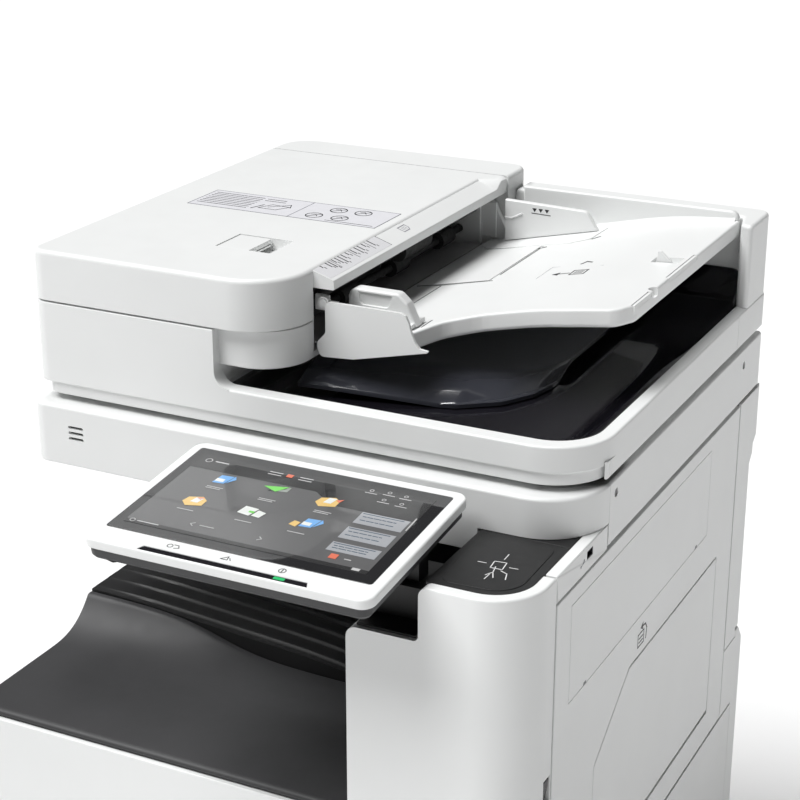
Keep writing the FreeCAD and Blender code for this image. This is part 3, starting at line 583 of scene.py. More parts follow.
def slope_marks():
    """Label and page picture on the lid's sloping lip."""
    fall = (LID.top - LIP_TOP - 0.6) / (LID.right - 2 - LID_CREASE)

    def on_slope(u, v, height):
        return (LID_CREASE + u, v, LID.top - fall * u + height)

    def on_card(u, v, height):
        return on_slope(u, v, height + INK_DEPTH)

    low, high, width = LID.front + 64, LID.front + 185, 22
    card = Marks(on_slope).fill(rectangle(2, 2 + width, low, high))
    card.done("slope_label_paper", ink("slope_paper", (0.78, 0.78, 0.8)), "feeder_lid", "white_cover")
    marks = Marks(on_card).line((2, low), (2, high), (2 + width, high), width=0.5)
    stations = (12, 22, 27, 34, 40, 46, 52, 60, 70, 78, 84, 92, 104)
    reaches = (5, 9, 12, 7, 11, 13, 8, 6, 9, 12, 10, 7, 11)
    for index, (v, reach) in enumerate(zip(stations, reaches)):
        marks.line((4 + index % 3, low + v), (4 + reach, low + v), width=1.3)
        marks.line((5 + reach, low + v + 2), (min(7 + reach, 19), low + v + 2), width=0.9)
    for v in (31, 66, 98):
        marks.line((2, low + v), (19, low + v), width=0.5)
    marks.done("slope_notice", BLACK_INK, "feeder_lid", "white_cover")
    page = Marks(on_slope)
    u, v = 14, LID.front + 232
    page.line((u - 4, v - 7), (u + 4, v - 7), (u + 4, v + 4), (u + 1, v + 7), (u - 4, v + 7), width=0.9,
              closed=True)
    for row in (-3, 0, 3):
        page.line((u - 2, v + row), (u + 2, v + row), width=0.6)
    page.done("page_icon", GREY_INK, "feeder_lid", "white_cover")


# ---------------------------------------------------------------- platen cover and feeder body
BASE = Span("adf_base")
DISH = Span("output_dish")
RAIL_TOP = Span("rear_wall_cover").bottom
BLOCK_TOP = Span("rear_top_cover").bottom
STEP_FACE = DISH.left - 0.5
LIP_BAND = 12
WORKS_RIGHT = LID_BODY_RIGHT - 1
WORKS_BOTTOM = BLOCK_TOP - 35.7
ROOM_REAR = 290
TRAY_PIVOT = (Span("document_tray").left + 6, LIP_BOTTOM - 10)
PIN_BORE = 4.06


def platen_casing():
    """Outer shape of the platen cover: floor tray with its bowl, left block and feeder works."""
    tray = moulding(BASE.plan(LEFT_CORNER, 58, 10, 10), BASE.bottom + LIP_BAND, RAIL_TOP, 2.2, 1)
    bowl = moulding(rectangle(DISH.left + 0.2, DISH.right + 0.5, DISH.front, DISH.rear + 0.5, 10, 44, 12, 10),
                    DISH.bottom, RAIL_TOP + 5, 0, 0)
    left, right, front = BASE.left + 9, BASE.right - 2.5, BASE.front + 2.5
    low_plan = rounded((left, front, 14), (right, front, 55.5), (right, BASE.front + 38),
                       (BASE.right, BASE.front + 40), (BASE.right, BASE.rear, 10), (BASE.left, BASE.rear, 10),
                       (BASE.left, BASE.front + 200), (left, BASE.front + 190))
    band = moulding(low_plan, BASE.bottom, BASE.bottom + LIP_BAND + 4, 0, 1.5)
    side_block = moulding(rectangle(BASE.left, STEP_FACE, BASE.front, BASE.rear, LEFT_CORNER, 0, 0, 10),
                          RAIL_TOP - 4, BLOCK_TOP, 0.8, 0)
    radius = 15
    fillet = [(STEP_FACE - 3, RAIL_TOP - 2), (STEP_FACE + radius, RAIL_TOP - 2)]
    fillet += arc((STEP_FACE + radius, RAIL_TOP + radius), radius, 270, -90)
    fillet += [(STEP_FACE - 3, RAIL_TOP + radius)]
    cove = moulding(fillet, BASE.front, DISH.front, 0, axis="y")
    works = moulding(rectangle(STEP_FACE - 4, WORKS_RIGHT, BASE.front + 10, BASE.rear, 0, 46, 0, 0),
                     WORKS_BOTTOM, BLOCK_TOP, 0.6, 2)
    rear_fill = block((STEP_FACE - 4, LID.right + 2), (DISH.rear + 0.5, BASE.rear - 1),
                      (RAIL_TOP - 3, BLOCK_TOP))
    return joined(carved(tray, bowl), band, side_block, cove, works, rear_fill)


def platen_cover():
    """Base of the feeder, with its paper room, seams, shaft ears and the tray's pivot pins."""
    room_height = (WORKS_BOTTOM + 7, BLOCK_TOP + 1)
    room = block((BASE.left + 14, WORKS_RIGHT + 1), (BASE.front + 62, ROOM_REAR), room_height)
    pocket = block((BASE.left + 14, WORKS_RIGHT - 44), (BASE.front + 26, BASE.front + 64), room_height)
    seam = block((WORKS_RIGHT - 1.2, WORKS_RIGHT + 1), (BASE.front + 44, BASE.front + 44.9),
                 (WORKS_BOTTOM - 1, BLOCK_TOP + 1))
    rail_seams = [block((BASE.right - 0.9, BASE.right + 1), (y, y + 0.9), (BASE.bottom - 1, RAIL_TOP - 1.4))
                  for y in (BASE.front + 46, DISH.rear - 60)]
    body = carved(platen_casing(), room, pocket, seam, *rail_seams, *shaft_bores())
    shaft_ear, ear_height = 3, (BLOCK_TOP - 30, LIP_BOTTOM)
    ears = [carved(block((WORKS_RIGHT - 34, WORKS_RIGHT - 1), (y, y + shaft_ear), ear_height, 0.5),
                   *shaft_bores()) for y in (BASE.front + 62, ROOM_REAR - shaft_ear)]
    ear_low, ear_high = WORKS_BOTTOM + 21, WORKS_BOTTOM + 59
    ears.append(block((WORKS_RIGHT - 3, WORKS_RIGHT + 11), (-73.8, -71), (ear_high - 15, ear_high), 0.8))
    ears.append(block((WORKS_RIGHT - 2, WORKS_RIGHT + 16), (290.5, 293.5), (ear_low, ear_high), 0.8))
    ears.append(rod("y", TRAY_PIVOT, 4, -80, -71.5, 0.3))
    ears.append(rod("y", TRAY_PIVOT, 4, 292, 301.5, 0.3))
    shell(together(body, *ears), "adf_base")


def shaft_bores():
    """Bearing holes for the two roller shafts, a little longer and wider than the shafts."""
    bores = []
    for node in ("adf_pickup_roller", "adf_feed_roller"):
        roller = Span(node)
        place = ((roller.left + roller.right) / 2, (roller.bottom + roller.top) / 2)
        bores.append(rod("y", place, 5, roller.front - 0.8, roller.rear + 0.8, 0))
    return bores


def feeder_works():
    """Guide plate, roller cage and dark linings inside the feeder's mouth."""
    front, rear = BASE.front + 68, ROOM_REAR - 6
    low, middle, right = BLOCK_TOP - 28, WORKS_RIGHT - 26, WORKS_RIGHT + 3.5
    plate = moulding([(STEP_FACE + 6, low + 3), (middle, low + 4), (right, low + 7.5), (right, low + 6),
                      (middle, low + 2.4), (STEP_FACE + 6, low + 1.4)], front, rear, 0.2, axis="y")
    piece(plate, "paper_guide_plate", moulded("guide_grey", (0.5, 0.5, 0.505), 0.34, depth=0.01),
          "platen_cover")
    back = block((WORKS_RIGHT - 50, WORKS_RIGHT - 47), (front, rear), (low + 8, BLOCK_TOP - 0.5))
    piece(back, "roller_cage_back", DARK, "platen_cover")
    left = LID_BODY_RIGHT - 45
    depth = (front + 1, rear + 1)
    ceiling = block((left, LID_BODY_RIGHT - 6), depth, (LIP_EDGE + 0.6, LIP_EDGE + 2.4))
    curtain = block((left, left + 2), depth, (LID.bottom + 3, LIP_EDGE + 2))
    liner = [block((LID_BODY_RIGHT - 6.5, LID.right - 4), span, (LIP_EDGE - 1.1, LIP_EDGE - 0.1), 0.2)
             for span in ((-76, 102), (168, 284))]
    piece(together(ceiling, curtain, *liner), "lid_liner", DARK, "feeder_lid")


def rear_covers():
    top = Span("rear_top_cover")
    plan = rectangle(top.left, top.right, top.front - SEAM_OVERRUN, top.rear, 0, 0, 18, 34)
    cover = moulding(plan, top.bottom + 0.5, top.top, LID_EDGE, 0.8, steps=6)
    before = block((top.left - 5, top.right + 5), (top.front - 40, top.front), (top.bottom - 5, top.top + 5))
    shell(carved(cover, before), "rear_top_cover")
    wall = Span("rear_wall_cover")
    plan = rounded((wall.left, 325), (wall.right - 20, 325, 6), (wall.right - 13, 294, 8),
                   (wall.right, wall.front, 4), (wall.right, wall.rear, 14), (wall.left, wall.rear))
    shell(moulding(plan, wall.bottom, wall.top, 4, 0.5, steps=5), "rear_wall_cover")


def dish_backboard():
    """Black lining that carries the dish up the rear wall."""
    back = moulding(rectangle(WORKS_RIGHT - 2, DISH.right - 3, DISH.top, RAIL_TOP + 31, 0, 0, 12, 0),
                    DISH.rear - 2, DISH.rear + 0.4, 0.6, 0, axis="y")
    side = moulding(rounded((DISH.rear - 33, DISH.top), (DISH.rear, DISH.top), (DISH.rear, RAIL_TOP + 28),
                            (DISH.rear - 33, RAIL_TOP + 6, 6)), DISH.right - 3, DISH.right - 1, 0.4, axis="x")
    piece(together(back, side), "dish_backboard", GLOSS, "platen_cover")


# ---------------------------------------------------------------- output dish
def dish_level(x, y):
    """Height of the sculpted bed where fed originals land."""
    across = (x - DISH.left) / (DISH.right - DISH.left)
    along = (y - DISH.front) / (DISH.rear - DISH.front)
    edge = min(across * 14, (1 - across) * 9, along * 12, (1 - along) * 8, 1)
    bed = 2.2 + 2.5 * (1 - across) - 2.2 * sin(pi * min(max(across * 1.3 - 0.15, 0), 1))
    ridge = 1.6 * max(0, cos((across - 0.93 - 0.05 * sin(along * 5)) * 40)) if across > 0.86 else 0
    swell = 1.1 * sin(along * 7 + across * 4) * across
    rim = DISH.top - DISH.bottom
    smooth = edge * edge * (3 - 2 * edge)
    return DISH.bottom + rim + (2.5 + bed + ridge + swell - rim) * smooth


def sheet_solid(plan, level, bottom, nx, ny):
    """Closed solid over a grid whose plan(s, t) is a place and whose top is level(x, y)."""
    bm = bmesh.new()
    top, low = [], []
    for i in range(nx + 1):
        top.append([])
        low.append([])
        for j in range(ny + 1):
            x, y = plan(i / nx, j / ny)
            z = level(x, y)
            top[i].append(bm.verts.new((x, y, z)))
            low[i].append(bm.verts.new((x, y, bottom(x, y, z))))
    for i in range(nx):
        for j in range(ny):
            bm.faces.new((top[i][j], top[i + 1][j], top[i + 1][j + 1], top[i][j + 1]))
            bm.faces.new((low[i][j], low[i][j + 1], low[i + 1][j + 1], low[i + 1][j]))
    rim_top = top[0] + [row[-1] for row in top[1:]] + top[-1][-2::-1] + [row[0] for row in top[-2:0:-1]]
    rim_low = low[0] + [row[-1] for row in low[1:]] + low[-1][-2::-1] + [row[0] for row in low[-2:0:-1]]
    for i in range(len(rim_top)):
        j = (i + 1) % len(rim_top)
        bm.faces.new((rim_top[i], rim_top[j], rim_low[j], rim_low[i]))
    bmesh.ops.recalc_face_normals(bm, faces=bm.faces)
    return bm


def output_dish():
    def plan(s, t):
        return DISH.left + (DISH.right - DISH.left) * s, DISH.front + (DISH.rear - DISH.front) * t

    bed = sheet_solid(plan, dish_level, lambda x, y, z: DISH.bottom, 110, 110)
    corner = moulding(DISH.plan(9.5, 43.5, 11, 9.5), DISH.bottom - 1, DISH.top + 2, 0)
    shell(combined("INTERSECT", bed, corner), "output_dish", sharp=50)


def dish_plate():
    """Raised gloss plate in the dish: it falls away to the right and rolls over at its front edge. Its base
    colour is painted lighter and bluer than the other gloss black, a painted reflection of the bright
    surroundings.
    """
    plate = Span("dish_plate")
    left, right = plate.left - 4, plate.right
    front_edge = [(left, -97), (48, -78), (118, -58), (152, -32), (170, 0), (right, 30)]

    def front_of(x):
        for (x0, y0), (x1, y1) in zip(front_edge, front_edge[1:]):
            if x <= x1:
                part = (x - x0) / (x1 - x0)
                return y0 + (y1 - y0) * part
        return front_edge[-1][1]

    def plate_plan(s, t):
        x = left + (right - left) * (1 - (1 - s) ** 1.35)
        return x, front_of(x) + (plate.rear - front_of(x)) * t ** 1.3

    def plate_level(x, y):
        across = (x - left) / (right - left)
        crown = plate.top - 15 * across ** 1.4
        inland = min((y - front_of(x)) / 58, 1)
        drop = (15 + 5 * across) * (1 - inland) ** 2
        return max(crown - drop, DISH.bottom + 8)

    hump = sheet_solid(plate_plan, plate_level, lambda x, y, z: z - 3.5, 60, 70)
    stand = block((left + 12, right - 60), (-20, plate.rear - 6), (DISH.bottom + 3.2, DISH.bottom + 15))
    # the plate's lighter, bluish base colour is a painted reflection, not the plastic's own colour
    shell(together(hump, stand), "dish_plate", glossy("gloss_plate_painted_reflection", (0.042, 0.044, 0.056), 0.15), sharp=60)


# ---------------------------------------------------------------- document tray
TRAY = Span("document_tray")
TRAY_PROFILE = ((-14, 820), (-6, 821), (20, 825), (50, 832), (112, 846), (189, 863), (262, 870.5),
                (276, 871.5))


def tray_level(x):
    """Height of the tray's upper surface, smooth through the profile's points."""
    for index in range(1, len(TRAY_PROFILE) - 2):
        (x0, z0), (x1, z1) = TRAY_PROFILE[index], TRAY_PROFILE[index + 1]
        if x <= x1 or index == len(TRAY_PROFILE) - 3:
            (xa, za), (xb, zb) = TRAY_PROFILE[index - 1], TRAY_PROFILE[index + 2]
            t = (x - x0) / (x1 - x0)
            first = (z1 - za) / (x1 - xa) * (x1 - x0)
            second = (zb - z0) / (xb - x0) * (x1 - x0)
            return ((2 * t ** 3 - 3 * t ** 2 + 1) * z0 + (t ** 3 - 2 * t ** 2 + t) * first
                    + (3 * t ** 2 - 2 * t ** 3) * z1 + (t ** 3 - t ** 2) * second)


def draped(bm, step=8):
    """Bends a solid modelled flat at level 0 so that it follows the tray's surface."""
    sliced(bm, "x", range(int(TRAY.left), int(TRAY.right) + 4, step))
    for vertex in bm.verts:
        vertex.co.z += tray_level(vertex.co.x)
    return bm


def on_tray(u, v, height):
    return (u, v, tray_level(u) + height)


def document_tray():
    """Sloping tray, modelled flat and then draped, with its rear fence and pivot arm."""
    thickness, rear = 17.5, TRAY.rear - 1
    plan = rounded((TRAY.left + 3, TRAY.front), (73, TRAY.front, 6), (94, -34, 26), (124, -20, 40),
                   (206, -20, 60), (250, -12, 18), (TRAY.right, 8, 14), (TRAY.right, rear, 5), (24, rear),
                   (24, 303), (TRAY.left + 3, 303))
    stopper = Span("tray_stopper")
    cuts = [block((stopper.left - 3, stopper.right + 3), (stopper.front - 1.5, stopper.rear + 15), (-6, 2))]
    edge_slots = ((96, 178), (4, 48))
    cuts += [block((TRAY.right - 4, TRAY.right + 2), slot, (-5, 2)) for slot in edge_slots]
    cuts.append(rod("z", (TRAY.right - 1, 58), 6, -8, 3, 0))
    slab = carved(moulding(plan, -thickness, 0, 2.6, 4), *cuts)
    inserts = [moulding(rectangle(TRAY.right - 3.4, TRAY.right - 0.2, low + 0.8, high - 0.8, 1),
                        -9, -0.4, 0.6) for low, high in edge_slots]
    reach = TRAY.rear - 8
    cove = [(reach - 6, -2), (reach + 1, -2), (reach + 1, 6)] + arc((reach - 6, 6), 6, 0, -90)
    cove = moulding(cove, 26, TRAY.right - 4, 0, axis="x")
    fence = rounded((24, 824), (TRAY.right - 1, 866), (TRAY.right - 1, TRAY.top, 9), (24, TRAY.top))
    fence = moulding(fence, TRAY.rear - 8.5, TRAY.rear, 2.4, axis="y")
    arm = rounded((TRAY.left, TRAY_PIVOT[1]), (TRAY.left, 846), (-4.5, 843), (-4.5, 812), (12, 812),
                  (12, 835), (0, TRAY_PIVOT[1]))
    arm = moulding(arm, 295, 302, 0.8, axis="y")
    boss = rod("y", TRAY_PIVOT, 6, 295, 302, 0.4)
    arm, boss = [carved(solid, rod("y", TRAY_PIVOT, PIN_BORE, 290, 306, 0)) for solid in (arm, boss)]
    shell(together(draped(together(slab, cove, *inserts)), fence, arm, boss), "document_tray")


def tray_details():
    """Thin raised plates, dark ink lines in the gaps round the tray's flaps with a painted shadow along the
    flap's front step, and its printed pictures.
    """
    flap = moulding(rounded((-4, 110), (75, 110, 1), (75, 241, 1), (2, 251)), -0.6, 1.1, 0.4, 0.1)
    strip = rounded((-4, 270), (6, 256, 2), (104, 243, 3), (124, 254, 3), (126, 302), (-4, 302))
    plates = together(flap, moulding(strip, -0.5, 1.0, 0.4, 0.1))
    piece(draped(plates), "tray_plates", SMOOTH_WHITE, "original_tray")
    # dark ink lines: the slots round the flaps, and a painted shadow along the raised flap's front edge
    gaps = Marks(on_tray)
    gaps.line((-2, 108.8), (78, 108.8), width=1.7).line((24, 47), (24, 107), width=1.5)
    gaps.line((77, 132), (77, 234), width=1.5).line((76, 234), (81, 238), width=3)
    gaps.line((78.5, -49), (78.5, -27), width=1.3).line((77, 242.5), (2, 252.5), width=1.1)
    gaps.line((126, 255), (131, 262), width=2.6)
    gaps.done("tray_gap_shadows", ink("gap_shadow", (0.09, 0.09, 0.09), 0.7), "original_tray", "white_cover")
    lines = Marks(on_tray)
    lines.line((128, 100), (128, 142), (184, 132), width=0.4)
    lines.line((TRAY.left + 14, -58), (76, -58), width=0.35)
    lines.done("tray_lines", GREY_INK, "original_tray", "white_cover")
    marks = Marks(on_tray)
    x, y = 160, 110
    marks.box(x, x + 14, y - 7, y + 9, 1.3)
    for row in (-3, 1, 5):
        marks.line((x + 3, y + row), (x + 11, y + row), width=1.2)
    marks.line((x - 15, y), (x - 3, y), width=1.8)
    marks.fill([(x - 20, y), (x - 13, y - 5), (x - 13, y + 5)])
    marks.line((157, 144), (160, 152), (166, 148), width=2.2)
    marks.done("tray_icons", BLACK_INK, "original_tray", "white_cover")


def tray_skirt():
    """Upright skirt at the tray's front: two slabs with a dark seam between them."""
    skirt = Span("tray_skirt")
    left, right, top = skirt.left, skirt.right, skirt.top
    shoulder = top - 3
    curve = [(79, shoulder - 2), (82.5, shoulder - 9.5), (84.8, shoulder - 17.7), (88.3, shoulder - 25.6),
             (93, 830), (right, 829)]
    lower_edge = [(right - 0.5, 827.6), (62.9, 818.6), (26.3, 810)]
    front_shape = rounded((left + 4, 807.5, 6), (left, 820, 8), (left + 10, 831, 5), (left + 10, shoulder, 6),
                          (74, shoulder, 8), *curve, *lower_edge)
    behind = rounded((left + 12, 812, 2), (left + 12, top, 4), (79, top, 9), (86, top - 12), (89, 843),
                     (95, 836), (right - 1, 832), (right - 3, 829), (62.9, 820), (26.3, 812))
    front_slab = moulding(front_shape, skirt.front, skirt.front + 3.8, 0.9, 0, axis="y")
    rear_slab = moulding(behind, skirt.front + 5.2, skirt.rear, 0.6, axis="y")
    core = moulding(inset(anticlockwise(behind), 2.4), skirt.front + 3, skirt.front + 6, 0, axis="y")
    boss = rod("y", TRAY_PIVOT, 6, skirt.front + 4, skirt.rear, 0.4)
    x, z = TRAY_PIVOT
    arm = moulding(rectangle(x, x + 14, z - 5, z + 2), skirt.front + 5.6, skirt.rear - 0.2, 0.3, axis="y")
    bore = rod("y", TRAY_PIVOT, PIN_BORE, skirt.front + 2.8, skirt.rear + 3, 0)
    shell(carved(joined(rear_slab, core, front_slab, boss, arm), bore), "tray_skirt")


def front_guide():
    guide = Span("front_guide")
    left_end, top, clearance = guide.left - 8, guide.top, 1.4
    low = [(x, tray_level(x) + clearance) for x in (left_end, 40, guide.right)]
    outline = rounded(*low, (66, top - 8, 5), (57, top, 7), (left_end, top, 10))
    wall = moulding(outline, guide.front + 6, guide.front + 19, 2.4, axis="y", steps=5)
    recess = rounded((17, top - 3), (19, top - 15, 4), (47, top - 15, 4), (51, top - 3))
    recess = moulding(recess, guide.front, guide.front + 8, 0, axis="y")
    wall = softened(carved(wall, recess), 0.8, lambda p: 16 < p.x < 52 and p.y < guide.front + 8.5)
    foot = [(x, tray_level(x) + clearance) for x in (left_end, 32, 50, guide.right - 2)]
    foot += [(u, v + 4) for u, v in foot[::-1]]
    base = moulding(foot, guide.front, guide.rear, 1, axis="y")
    shell(together(wall, base), "front_guide", SMOOTH_WHITE)


def rear_guide():
    """Rear guide with the small wire hook and the mark for the highest stack."""
    guide = Span("rear_guide")
    left_end = 15
    low = [(x, tray_level(x) + 1.6) for x in (left_end, 60, 100, guide.right)]
    outline = rounded(*low, (107, guide.top - 1.5, 9), (left_end, guide.top + 1))
    wall = moulding(outline, guide.front, guide.rear, 1.4, axis="y")
    wire, level = 0.9, tray_level(20) + 27
    straight = rod("x", (guide.front - 0.6, level), wire, left_end + 0.5, 24, 0.3)
    bent = moved(rod("x", (0, 0), wire, 0, 13, 0.3), Matrix.Rotation(radians(-28), 4, "Y"),
                 (23.6, guide.front - 0.6, level))
    shell(together(wall, straight, bent), "rear_guide", SMOOTH_WHITE)
    face = Marks(on_front(guide.front))
    level = tray_level(60) + 27
    for u in (49, 56, 63):
        face.fill([(u - 2.6, level + 4), (u + 2.6, level + 4), (u, level)])
    face.line((46, level - 1.4), (67, level - 2.0), width=0.8)
    face.done("load_limit_mark", BLACK_INK, "guide_rear", "white_cover")


def tray_stopper():
    fin = Span("tray_stopper")
    outline = rounded((fin.left + 2, fin.bottom), (fin.right - 3, fin.bottom + 1.4),
                      (fin.right - 5, fin.bottom + 4, 2), (fin.left + 7, fin.top - 1, 1.6),
                      (fin.left + 3.5, fin.top - 1.4, 1.2))
    shell(moulding(outline, fin.front, fin.rear, 0.5, axis="y"), "tray_stopper", SMOOTH_WHITE)


# ---------------------------------------------------------------- scanner housing
def reader():
    """Scanner housing with its glass openings, vent slots and the step over the card reader."""
    body = Span("reader_housing")
    deck = Span("card_reader_panel").top
    step_left, step_rear, rear_ledge = 185.5, -98, 352
    case = moulding(body.plan(LEFT_CORNER, 58, 10, 10), body.bottom, body.top, 3.2, 1.6, steps=5)
    cuts = [block((-262, 262), (-60, 320), (body.bottom + 6, body.top - 6)),
            block((body.left - 1, body.right + 1), (rear_ledge, body.rear + 1), (736, body.top + 1)),
            block((step_left, body.right + 1), (body.front - 1, step_rear), (body.bottom - 1, deck + 0.1)),
            block((body.right - 1, body.right + 1), (step_rear - 0.4, step_rear + 0.4),
                  (deck - 1, body.top + 1))]
    for pane in (Span("platen_glass"), Span("slit_glass")):
        cuts.append(pane.solid(top=1))
        cuts.append(pane.solid(left=4, right=-4, front=4, rear=-4, bottom=-4))
    for index in range(3):
        level = body.bottom + 27 + 5.6 * index
        slot = rectangle(body.left + 42.5, body.left + 59.5, level, level + 3, 1.45)
        cuts.append(moulding(slot, body.front - 1, body.front + 5, 0, axis="y"))
    cap_places = ((body.front + 76, body.bottom + 45), (body.rear - 67, body.bottom + 40))
    cuts += [rod("x", place, 4.3, body.right - 2.5, body.right + 1, 0) for place in cap_places]
    shell(carved(case, *cuts), "reader_housing")
    lining = rectangle(body.left + 41, body.left + 61, body.bottom + 25, body.bottom + 43)
    lining = moulding(lining, body.front + 3.5, body.front + 5.5, 0, axis="y")
    piece(lining, "vent_lining", DARK, "machine")
    caps = [rod("x", place, 3.9, body.right - 2.4, body.right - 0.9, 0.4) for place in cap_places]
    piece(together(*caps), "side_caps", GREY, "machine")


# ---------------------------------------------------------------- operation panel
PANEL = Span("panel_frame")
PANEL_TILT = 5.3
PANEL_LEVEL = 727.2
PANEL_DEPTH = 187
GLASS_FRONT, GLASS_REAR = 24.8, 176.7


def on_panel(u, v, height):
    """Place on the tilted panel: u is X, v runs back from its front edge."""
    angle = radians(PANEL_TILT)
    return (u, PANEL.front + v * cos(angle) - height * sin(angle),
            PANEL_LEVEL + v * sin(angle) + height * cos(angle))


def tilted(bm):
    return moved(bm, Matrix.Rotation(radians(PANEL_TILT), 4, "X"), (0, PANEL.front, PANEL_LEVEL))


def panel_front():
    """Rounded frame, screen glass and the strip with the green lamp."""
    frame_slab = moulding(rectangle(PANEL.left, PANEL.right, 0, PANEL_DEPTH, 12), -9, 0, 2.0, 1.2, steps=5)
    window = moulding(rectangle(-73, 175.6, GLASS_FRONT - 0.3, GLASS_REAR + 0.3, 3), -10, 1, 0)
    strip_outline = [(-27, 1.5), (-24, 8.3), (128, 8.3), (131, 1.5)]
    strip_cut = moulding(strip_outline, -0.8, 1, 0)
    face = softened(carved(frame_slab, window, strip_cut), 0.7,
                    lambda p: p.z > -0.05 and -75 < p.x < 177 and 20 < p.y < 179)
    shell(tilted(face), "panel_frame", SMOOTH_WHITE)
    strip = moulding(inset(anticlockwise(strip_outline), 0.4), -0.9, -0.25, 0.2)
    piece(tilted(strip), "panel_lamp_strip", GLOSS, "panel")
    lamp = moulding(rectangle(99, 109, 3.2, 6.8, 0.8), -0.3, 0.1, 0.1)
    green = ink("green_lamp", (0.01, 0.42, 0.12), glow=0.35)
    piece(tilted(lamp), "panel_lamp", green, "panel")
    glass = moulding(rectangle(-72.7, 175.3, GLASS_FRONT, GLASS_REAR, 2.6), -6, -0.2, 0.3)
    shell(tilted(glass), "panel_glass")
    icons = Marks(on_panel)
    icons.ring((-4, 16), 2.4, 0.6).line((-1, 18.5), (3, 18.5), (5, 15), (1, 13.5), width=0.7)
    icons.line((45, 14), (51, 14), (50, 19), width=0.7, closed=True).line((52, 17), (54, 14), width=0.7)
    icons.ring((100.6, 16.4), 3.0, 0.7).line((100.6, 14.6), (100.6, 18.2), width=0.9)
    icons.done("panel_icons", BLACK_INK, "panel", "white_cover")


def panel_housing():
    """Black underside that narrows in steps, with the hinge tab bored for its pin."""
    edge = anticlockwise(rectangle(PANEL.left + 3, PANEL.right - 3, 2, PANEL_DEPTH - 3, 10))
    steps = ((0, -9), (0.6, -17), (3, -20), (10, -24.5), (14, -26), (18, -27))
    case = loft([[(x, y, level) for x, y in inset(edge, distance)] for distance, level in steps])
    back, drop, radius, sides = 126, 38, 9, (140, 156)
    tab = block(sides, (back - radius, back + radius), (-drop, -24))
    barrel = rod("x", (back, -drop), radius, *sides, 0.6)
    bore = rod("x", (back, -drop), PIN_BORE, sides[0] - 2, sides[1] + 2, 0)
    ledge = moulding(rectangle(-22, 0, 30, 60, 2), -28, -24, 0.6)
    shell(tilted(together(carved(joined(case, tab, barrel), bore), ledge)), "panel_housing",
          moulded("panel_underside", (0.035, 0.035, 0.037), 0.45))


def labels(m):
    """Dashes, rings and arrows in place of the screen's words."""
    m.ring((-53.5, 157), 3, 0.9).rows(-46, -34, 154, 160, 1, 1.6, 3)
    for u in (8, 38):
        m.rows(u, u + 12, 153, 161, 2, 1.1, 3)
    for u, v in ((106, 158), (122, 160), (138, 159), (123, 147), (140, 146)):
        m.ring((u, v + 3), 1.6, 0.8).rows(u - 4, u + 8, v - 3, v, 1, 0.9, 2.5)
    for u, v in ((-23, 116), (30, 114), (84, 113), (-26, 74), (30, 75), (80, 75)):
        m.rows(u - 7, u + 8, v - 4, v + 1, 2 if v > 112 else 1, 0.9, 3)
    m.line((-5, 56), (-8, 53.5), (-5, 51), width=0.8).line((57, 56), (60, 53.5), (57, 51), width=0.8)
    m.line((1, 53.8), (14, 53.8), width=0.8).ring((-57, 41), 2.2, 0.8).rows(-52, -32, 39, 43, 1, 1.1, 3)
    m.fill(rectangle(150, 157, 38.5, 42)).line((162.6, 131), (162.8, 111), width=1.1)
    m.rows(138, 144, 49, 53, 1, 1.1, 3)


CARDS = ((106, 125), (80, 99), (59, 73))


def card_lines(m):
    for low, high in CARDS:
        m.rows(120, 150, low + 3, high - 4, 2, 0.9, 5)
        m.line((118, high - 2.2), (155, high - 2.2), width=0.9)


